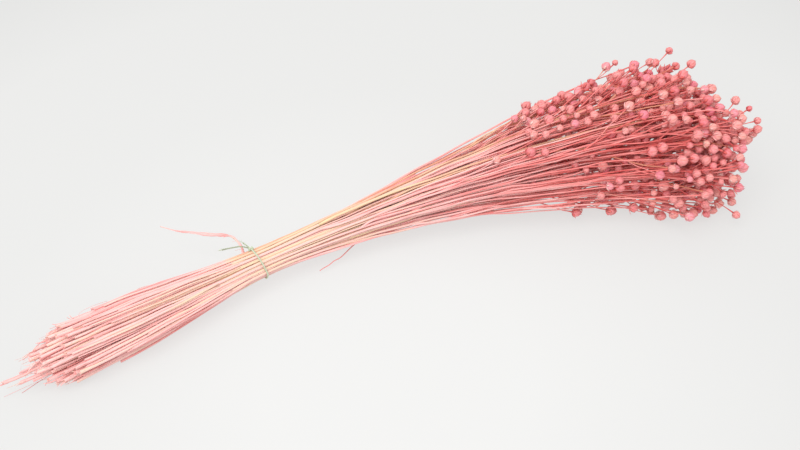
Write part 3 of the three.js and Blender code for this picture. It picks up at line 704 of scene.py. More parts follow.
def place_branches(stems, draw):
    branches = []
    for plant in range(PLANTS):
        own = [stem for stem in stems if stem.plant == plant]
        for k in range(BRANCHES):
            host = own[0 if k < 2 else -1]
            for _ in range(TRIES):
                root = root_on(host, BRANCH_ZONE, draw)
                branch = grow(*root, BRANCH, host.number, draw)
                if branch:
                    branch.plant, branch.host = plant, host
                    join(branch, BRANCH_NUMBERS + len(branches))
                    branches.append(branch)
                    break
    return branches


def place_twigs(stems, branches, draw):
    """The finer branches that only this scene has, from stems and from side branches."""
    twigs = []
    for plant in range(PLANTS):
        own = [stem for stem in stems if stem.plant == plant]
        sides = [branch for branch in branches if branch.plant == plant]
        for _ in range(TWIGS):
            for _ in range(TWIG_TRIES):
                if draw() < ON_BRANCH.share and sides:
                    host = sides[int(draw() * len(sides))]
                    t = ON_BRANCH.first + ON_BRANCH.length * draw()
                    near = ON_BRANCH.near
                    root = bezier(host.curve, t)
                    along = unit(bezier(host.curve, t + near) - bezier(host.curve, t - near))
                    start = root, along, from_space(root)[0]
                else:
                    host, t = own[int(draw() * len(own))], None
                    start = root_on(host, TWIG_ZONE, draw)
                twig = grow(*start, TWIG, host.number, draw)
                if twig:
                    twig.plant, twig.host, twig.t = plant, host, t
                    join(twig, TWIG_NUMBERS + len(twigs))
                    twigs.append(twig)
                    break
    return twigs


def carry_to(s, y, z, stems, draw):
    """A fine branch that bends off a stem to bring its capsule to a given place."""
    middle, radius = to_space(s, y, z), capsule_radius(draw)
    back = min(CARRIED.last, s - CARRIED.least - CARRIED.range * draw())
    if z < radius or not crowd.has_room_for_ball(middle, radius):
        return None
    lower = CARRIED.lower * (z - middle_height(s))
    wanted = to_space(back, CARRIED.inward * y, z - lower - CARRIED.under)
    hosts = [
        stem for stem in stems
        if stem.line[0][0] + CARRIED.root < back < stem.tip - CARRIED.tip
    ]
    host = nearest(hosts, wanted, lambda stem: point_at(stem, back))
    root, along = point_at(host, back), direction_at(host, back)
    gap = middle - root
    forward = float(gap @ along)
    elbow = root + along * forward * CARRIED.along + (gap - along * forward) * CARRIED.off
    axis = unit(middle - elbow)
    capsule = Values(radius=radius, axis=axis, middle=middle)
    end = middle - axis * radius * CAPSULE_SEAT
    crowd.add_ball(capsule)
    return Values(curve=(root, elbow, end), radius=TWIG.radius, capsule=capsule, s=back, t=None,
                  plant=host.plant, host=host)


def surface_height(s, y):
    """How high the sheaf's upper surface is, or None past its sides."""
    share = 1 - (y / half_width(s)) ** 2
    return middle_height(s) + half_height(s) * math.sqrt(share) if share > 0 else None


def place_cluster(stems, draw):
    """The capsules of the plants that end early, and a few alone, on the upper side."""
    grown = [carry_to(*place, stems, draw) for place in LONE]
    for _ in range(CLUSTER.tries):
        s = CLUSTER.start + CLUSTER.length * draw()
        y = CLUSTER.near + (CLUSTER.far - CLUSTER.near) * draw()
        z, above = surface_height(s, y), CLUSTER.above * draw()
        if z is not None:
            grown.append(carry_to(s, y, z + above, stems, draw))
    return [twig for twig in grown if twig]


def place_shell(stems, draw):
    """Capsules spread evenly over the outside and the front of the head."""
    grown = []
    for _ in range(SHELL.tries):
        turn, out = TURN * draw(), draw() ** SHELL.rim
        across, above = out * math.cos(turn), out * math.sin(turn)
        front = front_at(across, above)
        if out > SHELL.side:
            s = front - (front - SHELL.start) * draw() ** SHELL.forward
        else:
            s = front - SHELL.deep * draw()
        y, z = half_width(s) * across, middle_height(s) + half_height(s) * above
        grown.append(carry_to(s, y, z, stems, draw))
    return [twig for twig in grown if twig]


all_stems = make_stems()
for stem in all_stems:
    crowd.add_stem(stem_line(stem)[0 if stem.parent is None else 1 :], stem.number)
forked = [stem for stem in all_stems if stem.parent is None or place_fork(stem)]
draw = random_stream(SEED + STREAMS.tips)
stems = [stem for stem in forked if place_tip(stem, draw)]
mains = stems[:PLANTS]
branches = place_branches(stems, draw)
crowd.gap = TIGHT_GAP
twigs = place_cluster(stems, random_stream(SEED + STREAMS.cluster))
twigs += place_shell(stems, random_stream(SEED + STREAMS.shell))
crowd.gap = FINE_GAP
twigs += place_twigs(stems, branches, random_stream(SEED + STREAMS.twigs))

# The fine lines that the plants are drawn from. Two long and two short waves make a stem
# waver, least by the cord and where it ends.

WAVES = ((75, 50, 0.65), (34, 18, 0.35)) * 2
WAVER = Values(least=0.25, more=0.45, over=150, most=1.4, tie=8, from_tie=60, from_end=30)


class Strand:
    """A smooth line through a stem's points, with the slight waver of a dry stem."""

    def __init__(self, line, draw, start=None):
        self.s = np.array([s for s, _, _ in line])
        self.points = np.array([point for _, point, _ in line])
        self.radii = np.array([radius for _, _, radius in line])
        if start is not None:
            self.points[0] = start
        steps = np.diff(self.points, axis=0) / np.diff(self.s)[:, None]
        across = (self.points[2:] - self.points[:-2]) / (self.s[2:] - self.s[:-2])[:, None]
        self.slopes = np.vstack([steps[:1], across, steps[-1:]])
        self.rooted = start is not None
        self.waves = [
            (TURN / (least + span * draw()), TURN * draw(), share) for least, span, share in WAVES
        ]

    def waver(self, s):
        away = np.abs(s)
        size = WAVER.least + WAVER.more * np.clip(away / WAVER.over, 0, WAVER.most)
        size = size * np.clip((away - WAVER.tie) / WAVER.from_tie, 0, 1)
        size = size * np.clip((self.s[-1] - s) / WAVER.from_end, 0, 1)
        if self.rooted:
            size = size * np.clip((s - self.s[1]) / WAVER.from_end, 0, 1)
        sway = [share * np.sin(rate * s + phase) for rate, phase, share in self.waves]
        side, rise = sway[0] + sway[1], sway[2] + sway[3]
        return np.stack([np.zeros_like(s), side * size, rise * size], axis=-1)

    def at(self, s):
        s = np.atleast_1d(np.asarray(s, float))
        k = np.clip(np.searchsorted(self.s, s) - 1, 0, len(self.s) - 2)
        span = (self.s[k + 1] - self.s[k])[:, None]
        t = (s[:, None] - self.s[k][:, None]) / span
        t2, t3 = t * t, t * t * t
        return (
            (2 * t3 - 3 * t2 + 1) * self.points[k]
            + (t3 - 2 * t2 + t) * span * self.slopes[k]
            + (3 * t2 - 2 * t3) * self.points[k + 1]
            + (t3 - t2) * span * self.slopes[k + 1]
            + self.waver(s)
        )

    def radius(self, s):
        return np.interp(s, self.s, self.radii)


def frames(points):
    """Tangents and two directions square to them, carried along without twisting."""
    tangents = np.gradient(points, axis=0)
    tangents /= np.linalg.norm(tangents, axis=1)[:, None]
    left = np.cross(UP, tangents[0])
    if np.linalg.norm(left) < 1e-3:
        left = np.cross([1.0, 0.0, 0.0], tangents[0])
    lefts = []
    for tangent in tangents:
        left = unit(left - tangent * float(left @ tangent))
        lefts.append(left)
    lefts = np.array(lefts)
    return tangents, lefts, np.cross(tangents, lefts)


def lengths_along(points):
    return np.concatenate([[0], np.cumsum(np.linalg.norm(np.diff(points, axis=0), axis=1))])


def ring_angles(sides):
    return TURN * np.arange(sides) / sides


def circle(first, second, angles):
    """Directions at many angles, from the first towards the second."""
    return first * np.cos(angles)[:, None] + second * np.sin(angles)[:, None]


def sleeve(rows, sides):
    """The triangles between rings of points, one ring after another."""
    here = np.arange(rows - 1)[:, None] * sides
    ring = np.arange(sides)[None]
    a, b = (here + ring).ravel(), (here + (ring + 1) % sides).ravel()
    c, d = a + sides, b + sides
    return np.concatenate([np.stack([a, b, d], 1), np.stack([a, d, c], 1)])


def lid(first, sides):
    """The triangles that close a ring whose points start at number first."""
    fan = first + np.arange(1, sides - 1)
    return np.stack([np.full(sides - 2, first), fan, fan + 1], 1)


FACING_DOWN = [0, 2, 1]
# How a tube's place becomes the place in its grain, and how far apart two tubes' grains are
GRAIN = Values(along=0.12, around=1.6, run=7, apart=13, aside=4.4)


class Shape:
    """Vertices, triangles and their attributes, gathered into one mesh."""

    def __init__(self):
        self.points, self.faces, self.slots, self.flat = [], [], [], []
        self.values = {"dye": [], "tone": [], "mark": []}
        self.grain = []
        self.count = 0

    def add(self, points, faces, slot, dye, tone, mark, grain, flat=False):
        n = len(points)
        self.points.append(np.asarray(points, float))
        self.faces.append(np.asarray(faces, int) + self.count)
        self.slots.append(np.full(len(faces), slot))
        self.flat.append(np.full(len(faces), flat))
        for name, value in (("dye", dye), ("tone", tone), ("mark", mark)):
            self.values[name].append(np.broadcast_to(np.asarray(value, float), n))
        self.grain.append(grain)
        self.count += n

    def tube(self, points, radii, sides, slot, dye, tone, flat=1.0, turn=None, open_end=False):
        """A tube along points. flat thins it to a ribbon, and turn twists its flat side."""
        n = len(points)
        points = np.array(points, float)
        points[:, 2] = np.maximum(points[:, 2], radii)
        _, lefts, rises = frames(points)
        angles = ring_angles(sides)
        across = np.cos(angles)[None, :, None]
        above = np.sin(angles)[None, :, None] * flat
        if turn is not None:
            cos, sin = np.cos(turn)[:, None], np.sin(turn)[:, None]
            lefts, rises = lefts * cos + rises * sin, rises * cos - lefts * sin
        radii = np.broadcast_to(np.asarray(radii, float), n)[:, None, None]
        rings = points[:, None] + (lefts[:, None] * across + rises[:, None] * above) * radii
        grain = np.empty((n, sides, 3))
        seed = points[0].sum() % GRAIN.run
        grain[..., 0] = lengths_along(points)[:, None] * GRAIN.along + seed * GRAIN.apart
        grain[..., 1] = np.cos(angles) * GRAIN.around + seed * GRAIN.aside
        grain[..., 2] = np.sin(angles) * GRAIN.around
        faces = sleeve(n, sides)
        if not open_end:
            ends = lid((n - 1) * sides, sides), lid(0, sides)[:, FACING_DOWN]
            faces = np.concatenate([faces, *ends])
        dye, tone = (
            np.repeat(np.broadcast_to(np.asarray(value, float), n), sides) for value in (dye, tone)
        )
        self.add(rings.reshape(-1, 3), faces, slot, dye, tone, 0.0, grain.reshape(-1, 3))

    def mesh(self, name):
        points = (np.concatenate(self.points) - FOOTPRINT_MIDDLE) / 1000
        points[:, 2] = np.maximum(points[:, 2], 0)
        mesh = bpy.data.meshes.new(name)
        mesh.from_pydata(points.tolist(), [], np.concatenate(self.faces).tolist())
        polygons = mesh.polygons
        polygons.foreach_set("material_index", np.concatenate(self.slots).astype(np.int32))
        polygons.foreach_set("use_smooth", ~np.concatenate(self.flat).astype(bool))
        for key, values in self.values.items():
            layer = mesh.attributes.new(key, "FLOAT", "POINT")
            layer.data.foreach_set("value", np.concatenate(values).astype(np.float32))
        layer = mesh.attributes.new("grain", "FLOAT_VECTOR", "POINT")
        layer.data.foreach_set("vector", np.concatenate(self.grain).astype(np.float32).ravel())
        mesh.update()
        return mesh


# Materials. Colours are given as they look on a screen, from 0 to 255.


def linear(red, green, blue):
    def one(value):
        value /= 255
        return value / 12.92 if value <= 0.04045 else ((value + 0.055) / 1.055) ** 2.4

    return (one(red), one(green), one(blue), 1.0)


class Nodes:
    """A material's node tree, with short ways to add nodes and link them."""

    def __init__(self, name, roughness, specular=0.3):
        self.material = bpy.data.materials.new(name)
        self.material.use_nodes = True
        self.tree = self.material.node_tree
        self.shader = self.tree.nodes["Principled BSDF"]
        self.set(self.shader, {"Roughness": roughness, "Specular IOR Level": specular})

    def set(self, node, inputs):
        """Links a node's inputs, or gives them their numbers, or colours as tuples."""
        for key, value in inputs.items():
            if isinstance(value, bpy.types.NodeSocket):
                self.tree.links.new(value, node.inputs[key])
            else:
                colour = linear(*value) if isinstance(value, tuple) else value
                node.inputs[key].default_value = colour

    def add(self, kind, output, inputs, **settings):
        node = self.tree.nodes.new("ShaderNode" + kind)
        for key, value in settings.items():
            setattr(node, key, value)
        self.set(node, inputs)
        return node.outputs[output]

    def attribute(self, name, output="Fac"):
        return self.add("Attribute", output, {}, attribute_name=name)

    def noise(self, vector, scale, detail=3.0, roughness=0.5):
        inputs = {"Vector": vector, "Scale": scale, "Detail": detail, "Roughness": roughness}
        return self.add("TexNoise", "Fac", inputs)

    def plus(self, a, b):
        return self.add("Math", 0, {0: a, 1: b}, operation="ADD")

    def ramp(self, factor, *stops):
        node = self.tree.nodes.new("ShaderNodeValToRGB")
        elements = node.color_ramp.elements
        while len(elements) < len(stops):
            elements.new(0.5)
        for element, (position, colour) in zip(elements, stops):
            element.position = position
            element.color = linear(*colour)
        self.set(node, {"Fac": factor})
        return node.outputs["Color"]

    def range(self, value, low, high, to_low, to_high):
        ends = {"From Min": low, "From Max": high, "To Min": to_low, "To Max": to_high}
        return self.add("MapRange", "Result", {"Value": value, **ends})

    def spread(self, noise, low, high):
        """A noise, which mostly runs from 0.3 to 0.7, brought to another range."""
        return self.range(noise, 0.3, 0.7, low, high)

    def mix(self, factor, a, b, blend="MIX"):
        inputs = {0: factor, 6: a, 7: b}
        return self.add("Mix", 2, inputs, data_type="RGBA", blend_type=blend)

    def finish(self, colour, height, strength, distance):
        """Gives the shader its colour, and a bump from a height. Returns the material."""
        bump = {"Strength": strength, "Distance": distance, "Height": height}
        normal = self.add("Bump", "Normal", bump)
        self.set(self.shader, {"Base Color": colour, "Normal": normal})
        return self.material


def stem_material():
    """Pale where there is little dye and red where there is much, or straw with a high tone."""
    n = Nodes("flax_stem", 0.62)
    grain = n.attribute("grain", "Vector")
    streaks = n.noise(grain, 2.2, 5.0, 0.6)
    patches = n.noise(grain, 0.35, 2.0)
    dye = n.plus(n.attribute("dye"), n.spread(patches, -0.13, 0.13))
    dye = n.plus(dye, n.spread(streaks, -0.07, 0.07))
    pink = n.ramp(
        dye, (0.0, (231, 210, 174)), (0.2, (233, 201, 175)), (0.4, (243, 194, 190)),
        (0.6, (238, 155, 151)), (0.8, (226, 112, 108)), (1.0, (200, 72, 73)),
    )
    straw = n.ramp(
        dye, (0.0, (231, 214, 164)), (0.4, (223, 196, 150)), (0.65, (212, 153, 116)),
        (1.0, (196, 98, 84)),
    )
    colour = n.mix(n.range(n.attribute("tone"), 0.92, 0.98, 0.0, 0.8), pink, straw)
    flecks = n.range(n.noise(grain, 5.0, 2.0), 0.66, 0.76, 0.0, 0.5)
    colour = n.mix(flecks, colour, (176, 104, 92))
    shade = n.spread(streaks, 0.88, 1.06)
    grey = n.add("CombineColor", "Color", {0: shade, 1: shade, 2: shade})
    return n.finish(n.mix(1.0, colour, grey, "MULTIPLY"), streaks, 0.5, 0.00018)


def capsule_material():
    """Mottled pinks, brighter with a high tone, and browner and darker in the seams: the tan is
    the capsule's own, the darkening with each groove's depth is painted shade.
    """
    n = Nodes("flax_capsule", 0.58, 0.35)
    grain = n.attribute("grain", "Vector")
    fine = n.noise(grain, 7.0, 3.0, 0.6)
    dye = n.plus(n.attribute("dye"), n.spread(n.noise(grain, 1.6, 4.0, 0.6), -0.2, 0.2))
    pink = n.ramp(
        dye, (0.0, (238, 176, 158)), (0.35, (234, 158, 153)), (0.6, (228, 136, 139)),
        (0.85, (216, 110, 121)), (1.0, (200, 88, 102)),
    )
    bright = n.ramp(dye, (0.2, (240, 160, 170)), (0.9, (224, 110, 134)))
    colour = n.mix(n.range(n.attribute("tone"), 0.78, 0.86, 0.0, 0.8), pink, bright)
    # Browner and darker along the seams: the tan is the capsule's own colour, the darkening that
    # follows each groove's depth is painted shade.
    colour = n.mix(n.range(n.attribute("mark"), 0.2, 1.0, 0.0, 0.6), colour, (186, 98, 76))
    colour = n.mix(n.range(fine, 0.62, 0.75, 0.0, 0.4), colour, (240, 196, 176))
    return n.finish(colour, fine, 0.45, 0.0002)


def pith_material():
    n = Nodes("flax_pith", 0.85, 0.1)
    cells = n.noise(n.attribute("grain", "Vector"), 6.0, 4.0, 0.7)
    colour = n.ramp(cells, (0.3, (206, 148, 134)), (0.7, (242, 208, 195)))
    return n.finish(colour, cells, 0.6, 0.0002)


def twine_material():
    """Pale green, and darker where the dye is strong, at the tails."""
    n = Nodes("twine", 0.85, 0.15)
    fibres = n.noise(n.attribute("grain", "Vector"), 3.0, 6.0, 0.7)
    colour = n.ramp(
        fibres, (0.25, (160, 172, 144)), (0.5, (194, 204, 178)), (0.75, (222, 228, 210))
    )
    tail = n.range(n.attribute("dye"), 0.0, 1.0, 0.0, 0.55)
    return n.finish(n.mix(tail, colour, (98, 108, 72)), fibres, 0.7, 0.0002)


# The floor's greys and its painted glow at growing distances, in metres, from its bright middle.
# The floor glows though it is no lamp, and both fall off outwards, a painted pool of light.
FLOOR_LIGHT_POOL_MIDDLE = Vector((-0.034, -0.11, 0))
FLOOR_AWAY = (0.1, 0.3, 0.45, 0.62, 1.0)
FLOOR_GREYS_PAINTED_FALLOFF = (110, 107, 106, 102, 98)
FLOOR_PAINTED_GLOW_GREYS = (250, 243, 242, 233, 224)
FLOOR_PAINTED_GLOW_STRENGTH = 0.7


def floor_material():
    n = Nodes("studio_floor", 0.8, 0.1)
    place = n.add("NewGeometry", "Position", {})
    inputs = {0: place, 1: FLOOR_LIGHT_POOL_MIDDLE}
    distance = n.add("VectorMath", "Value", inputs, operation="DISTANCE")
    reach = n.plus(distance, n.spread(n.noise(place, 0.9, 2.0), -0.02, 0.02))
    base, painted_glow = (
        n.ramp(reach, *((away, (grey, grey, grey - 1)) for away, grey in zip(FLOOR_AWAY, greys)))
        for greys in (FLOOR_GREYS_PAINTED_FALLOFF, FLOOR_PAINTED_GLOW_GREYS)
    )
    # Painted light: the floor glows by itself and lights the bunch from below, and its greys and
    # glow are painted darker away from the middle.
    n.set(n.shader, {"Base Color": base, "Emission Color": painted_glow, "Emission Strength": FLOOR_PAINTED_GLOW_STRENGTH})
    return n.material


STEM, CAPSULE, PITH = range(3)
PLANT_MATERIALS = [stem_material(), capsule_material(), pith_material()]
twine = twine_material()

# Stems and capsules in fine detail

SECTION_STEP = 7.0
FEWEST_SECTIONS = 6
STEM_SIDES = 9
BRANCH_SIDES = 6
BRANCH_SECTIONS = 10
CAPSULE_SIDES = 20
CAPSULE_LOBES = 5
# Heights and widths of a capsule's rings, in radii, from its stalk to its point
CAPSULE_PROFILE = (
    (-0.96, 0.16), (-0.88, 0.46), (-0.66, 0.76), (-0.34, 0.95), (0.0, 1.0), (0.32, 0.94),
    (0.6, 0.78), (0.8, 0.55), (0.93, 0.31), (1.01, 0.14), (1.1, 0.05),
)
SEAM_DEPTH = 0.07
BETWEEN_SEAMS_DEPTH = 0.03
# The seams deepen from one height to another, and are painted darker as they deepen, painted shade
# in the grooves; the boll's top is marked tan from one height to another
BOLL = Values(height=0.93, taller=0.14, point=1.16, deepens=(-0.9, 0.3), shallow=0.3, deep=0.7,
              marked=(0.85, 1.05), mark=0.5, dye=0.5, uneven=0.34, by_stem=0.2, grain=2.6,
              apart=40)
# An opened one, whose lobes stand up and out past a level
OPENED = Values(ripe=0.86, level=0.85, point=0.8, reach=0.34, out=1.3, back=0.6, narrow=0.75,
                start=0.86, rise=0.3, lobe=1.5, half_way=0.45)
SPREAD_SEPALS = Values(ripe=0.7, least=0.04, much=0.5, little=0.12)
# How far along a sepal its rings are, and their half widths
SEPAL_RINGS = ((0.0, 0.2), (0.3, 0.34), (0.65, 0.26))
SEPAL_SECTION = ((-1, -0.4), (0, 1), (1, -0.4), (0, -0.8))
SEPAL = Values(root=-0.97, length=0.8, longer=0.25, clear=0.05, thick=0.05, tip=0.07, curl=1.3,
               dyed=0.12, tone=0.8, grain=0.3)
# How strongly the stems are dyed along the bunch
DYE_AT = (-190, -150, -100, -50, 0, 50, 100, 150, 200, 260, 320, 380)
DYE = (0.43, 0.41, 0.38, 0.32, 0.26, 0.29, 0.38, 0.46, 0.54, 0.65, 0.75, 0.78)
PALE_TOP = Values(u=-0.35, v=0.5, depth=0.55, by=0.24, at=10, reach=130)
UNEVEN_AT, UNEVEN_BY = (-100, -40), (0.12, 0.24)
STRAW = Values(across=0.5, above=0.75, within=0.78, share=0.6, tone=0.97, fades=(-90, -20))
STEM_FORM = Values(thick=1.06, uneven=0.05, rate=0.31, phase=9, knob=1.5)
# A cut end's rings after the first: width, height, and share of the cut's slant
CUT_RINGS = ((0.97, 0.5, 1.0), (0.62, 0.4, 0.62), (0.3, -0.5, 0.3))
CUT = Values(first=0.99, slant=0.2, steeper=0.9, rough=0.25, grain=0.4)


def stem_dye(stem, s, own):
    """The pale stems lie on top, where the camera sees them; the rest took more dye."""
    main = stem.parent or stem
    depth = math.hypot(main.u - PALE_TOP.u, main.v - PALE_TOP.v)
    near_tie = np.exp(-((s - PALE_TOP.at) / PALE_TOP.reach) ** 2)
    uneven = np.interp(s, UNEVEN_AT, UNEVEN_BY) * (own - 0.5)
    return np.interp(s, DYE_AT, DYE) + PALE_TOP.by * (depth - PALE_TOP.depth) * near_tie + uneven


def add_stem(shape, stem, draw):
    start = None
    if stem.parent is not None:
        start = stem.parent.strand.at(stem.line[0][0])[0]
    stem.strand = Strand(stem.line, draw, start)
    first, last = stem.line[0][0], stem.line[-1][0]
    sections = max(FEWEST_SECTIONS, round((last - first) / SECTION_STEP))
    stations = np.linspace(first, last, sections)
    points = stem.strand.at(stations)
    own, tone = draw(), draw()
    main, tones = stem.parent or stem, tone
    if STRAW.share * draw() < patch_share(STRAW, main.u, main.v):
        tones = np.interp(stations, STRAW.fades, (0.0, STRAW.tone))
    wave = np.sin(stations * STEM_FORM.rate + STEM_FORM.phase * own)
    radii = stem.strand.radius(stations) * (STEM_FORM.thick + STEM_FORM.uneven * wave)
    radii[-1] *= STEM_FORM.knob
    dye = stem_dye(stem, stations, own)
    shape.tube(points, radii, STEM_SIDES, STEM, dye, tones, open_end=stem.parent is None)
    if stem.parent is None:
        add_cut_end(shape, points, radii[0], dye[0], tone, draw)
    add_capsule(shape, stem.capsule, own, draw)


def add_cut_end(shape, points, radius, dye, tone, draw):
    """A slanting cut with bark round a paler, sunken pith."""
    axis = unit(points[0] - points[1])
    angles = ring_angles(STEM_SIDES)
    around = circle(*square_to(axis), angles)
    slant = CUT.slant + CUT.steeper * draw()
    lift = slant * np.cos(angles - TURN * draw())
    rough = np.array([CUT.rough * draw() for _ in angles])
    rings = [points[0] + around * radius * CUT.first]
    for (width, height, share), ragged in zip(CUT_RINGS, (rough, 0, 0)):
        up = height + share * radius * lift + ragged
        rings.append(points[0] + around * radius * width + axis * up[:, None])
    rings = np.concatenate([*rings, [rings[-1].mean(0)]])
    faces = {STEM: [], PITH: []}
    n = STEM_SIDES
    for level, slot in enumerate((STEM, PITH, PITH)):
        for k in range(n):
            a, b = level * n + k, level * n + (k + 1) % n
            faces[slot] += [(b, a, a + n), (b, a + n, b + n)]
    faces[PITH] += [(3 * n + (k + 1) % n, 3 * n + k, 4 * n) for k in range(n)]
    for slot, triangles in faces.items():
        grain = rings * CUT.grain
        shape.add(rings, triangles, slot, dye, tone, 0.0, grain, flat=slot == PITH)


def add_capsule(shape, capsule, own, draw):
    """A round boll with five seams, a point, and dry sepals under it. Ripe ones are open."""
    axis, radius = capsule.axis, capsule.radius
    left, rise = square_to(axis)
    spin, tone, ripe = TURN * draw(), draw(), draw()
    around = circle(left, rise, ring_angles(CAPSULE_SIDES) + spin)
    per_lobe = CAPSULE_SIDES // CAPSULE_LOBES
    step = np.arange(CAPSULE_SIDES) % per_lobe
    on_seam, on_lobe = step == 0, step == per_lobe // 2
    seam = np.where(on_seam, SEAM_DEPTH, np.where(on_lobe, BETWEEN_SEAMS_DEPTH, 0.0))
    crown = np.where(on_lobe, 1.0, np.where(on_seam, 0.0, OPENED.half_way))
    height = BOLL.height + BOLL.taller * draw()
    opened = ripe > OPENED.ripe
    rings, tan_and_groove_shades = [], []
    for level, width in CAPSULE_PROFILE:
        deep = smooth(level, *BOLL.deepens)
        if opened and level > OPENED.level:
            over = level - OPENED.level
            reach = OPENED.reach + over * (OPENED.out * crown - OPENED.back)
            up = OPENED.start + over * (OPENED.rise + OPENED.lobe * crown)
            if level > 1.0:
                reach = reach * OPENED.narrow
            ring = capsule.middle + axis * (up * height * radius)[:, None]
            ring = ring + around * (reach * radius)[:, None]
            tan_and_groove_shades.append(np.where(on_seam, 1.0, BOLL.mark))
        else:
            reach = width * radius * (1 - seam * (BOLL.shallow + BOLL.deep * deep))
            ring = capsule.middle + axis * level * height * radius + around * reach[:, None]
            # Painted shade: the deeper a seam, the darker it is painted; the tan towards the point
            # is the capsule's own.
            tan_and_groove_shades.append(seam / SEAM_DEPTH * deep + BOLL.mark * smooth(level, *BOLL.marked))
        rings.append(ring)
    point = OPENED.point if opened else BOLL.point
    rings = np.concatenate([*rings, [capsule.middle + axis * point * height * radius]])
    tan_and_groove_shades = np.concatenate([*tan_and_groove_shades, [1.0]])
    levels = len(CAPSULE_PROFILE)
    top = (levels - 1) * CAPSULE_SIDES + np.arange(CAPSULE_SIDES)
    cap = np.stack([top, np.roll(top, -1), np.full(CAPSULE_SIDES, levels * CAPSULE_SIDES)], 1)
    base = lid(0, CAPSULE_SIDES)[:, FACING_DOWN]
    faces = np.concatenate([sleeve(levels, CAPSULE_SIDES), cap, base])
    dye = BOLL.dye + BOLL.uneven * (draw() - 0.5) + BOLL.by_stem * (own - 0.5)
    grain = (rings - capsule.middle) / BOLL.grain + tone * BOLL.apart
    shape.add(rings, faces, CAPSULE, dye, tone, tan_and_groove_shades, grain)
    sepals = SPREAD_SEPALS
    spread = sepals.least + (sepals.much if ripe > sepals.ripe else sepals.little) * draw()
    for k in range(CAPSULE_LOBES):
        out = towards(left, rise, spin + TURN * (k + 0.5) / CAPSULE_LOBES)
        add_sepal(shape, capsule, out, spread, dye, tone, draw)


def add_sepal(shape, capsule, out, spread, dye, tone, draw):
    """A pointed, thin leaf from the stalk's end along the capsule's lower side."""
    axis, radius = capsule.axis, capsule.radius
    across = np.cross(axis, out)
    length = SEPAL.length + SEPAL.longer * draw()
    rings = []
    for share, width in SEPAL_RINGS:
        level = SEPAL.root + share * length
        reach = math.sqrt(max(0.0, 1 - level * level)) + SEPAL.clear + spread * share
        middle = capsule.middle + (axis * level + out * reach) * radius
        outer = unit(out * reach + axis * (level - spread)) * SEPAL.thick
        for side, proud in SEPAL_SECTION:
            rings.append(middle + (across * side * width + outer * proud) * radius)
    level = SEPAL.root + length
    reach = math.sqrt(max(0.0, 1 - level * level)) + SEPAL.tip + spread * SEPAL.curl
    rings.append(capsule.middle + (axis * level + out * reach) * radius)
    faces = []
    for k in range(2):
        for side in range(4):
            a, b = k * 4 + side, k * 4 + (side + 1) % 4
            faces += [(a, b, b + 4), (a, b + 4, a + 4)]
    faces += [(8 + side, 8 + (side + 1) % 4, 12) for side in range(4)]
    faces += [(0, 2, 1), (0, 3, 2)]
    grain = np.array(rings) * SEPAL.grain
    shape.add(rings, faces, STEM, dye + SEPAL.dyed, min(tone, SEPAL.tone), 0.0, grain)


# Branches, twigs and thin shoots

BARK_TONE = 0.3
BRANCH_WIDTH = ((0, 0.15, 0.85, 0.95, 1), (1.1, 0.95, 0.8, 0.95, 1.5))
SWAY = Values(by=0.5, phase=6.3, rate=9, aside=0.6)
BRANCH_DYE = Values(by=0.06, uneven=0.2, along=20)
FOLLOWER_WIDTH = ((0, 0.1, 0.9, 1), (0.9, 1.3, 0.75, 1.1))
FOOT_SHOOT_WIDTH = ((0, 0.12, 1), (0.5, 1.0, 1.05))


def add_branch(shape, branch, draw):
    host, t = branch.host, branch.t
    root = host.strand.at(branch.s)[0] if t is None else bezier(host.curve, t)
    branch.curve = (root, *branch.curve[1:])
    t = np.linspace(0, 1, BRANCH_SECTIONS)
    points = bezier(branch.curve, t[:, None])
    wave, phase = SWAY.by * draw(), SWAY.phase * draw()
    sway = wave * np.sin(math.pi * t) * np.sin(SWAY.rate * t + phase)
    points[:, 2] += sway
    points[:, 1] += sway * SWAY.aside
    radii = branch.radius * np.interp(t, *BRANCH_WIDTH)
    own, tone = draw(), draw()
    dye = np.interp(branch.s + BRANCH_DYE.along * t, DYE_AT, DYE)
    dye = dye + BRANCH_DYE.by + BRANCH_DYE.uneven * (own - 0.5)
    shape.tube(points, radii, BRANCH_SIDES, STEM, dye, tone)
    add_capsule(shape, branch.capsule, own, draw)


def aside(turns, reach):
    """Steps off a stem, all in the section across the bunch."""
    return np.stack([np.zeros_like(reach), np.cos(turns) * reach, np.sin(turns) * reach], 1)


def follow(stem, draw):
    """A thin shoot that leaves a stem at its neck and drifts off it towards the head."""
    form = FOLLOWER
    start = max(form.start + form.range * draw(), stem.line[0][0] + form.root)
    turn = TURN * draw()
    spread = form.spread * (form.narrow + (1 - form.narrow) * draw())
    swing = form.swing * (draw() - 0.5)
    for _ in range(form.tries):
        radius = capsule_radius(draw)
        tip = stem.tip + form.ahead - form.drop * draw() ** form.unevenness
        if tip < start + SHORTEST:
            continue
        stations = np.linspace(start, tip, round((tip - start) / THIN_STEP) + 2)
        share = (stations - start) / (tip - start)
        reach = form.near * np.clip(share * form.leaves, 0, 1) + spread * share**form.drifts
        points = stem.strand.at(stations) + aside(turn + swing * share, reach)
        capsule = capsule_on(points[-1], unit(points[-1] - points[-3]), radius)
        if (
            capsule.middle[2] > radius - ON_FLOOR.sink
            and inside_head(capsule.middle, 0)
            and crowd.has_room_for_ball(capsule.middle, radius)
        ):
            return points, capsule
    return None


def add_follower(shape, stem, draw):
    grown = follow(stem, draw)
    if grown is None:
        return
    points, capsule = grown
    crowd.add_ball(capsule)
    share = np.linspace(0, 1, len(points))
    own, tone = draw(), draw()
    stations = stem.tip - (1 - share) * (stem.tip - from_space(points[0])[0])
    dye = np.interp(stations, DYE_AT, DYE) + FOLLOWER.dyed * (own - 0.5)
    radii = FOLLOWER.radius * np.interp(share, *FOLLOWER_WIDTH)
    shape.tube(points, radii, BRANCH_SIDES, STEM, dye, tone)
    add_capsule(shape, capsule, own, draw)


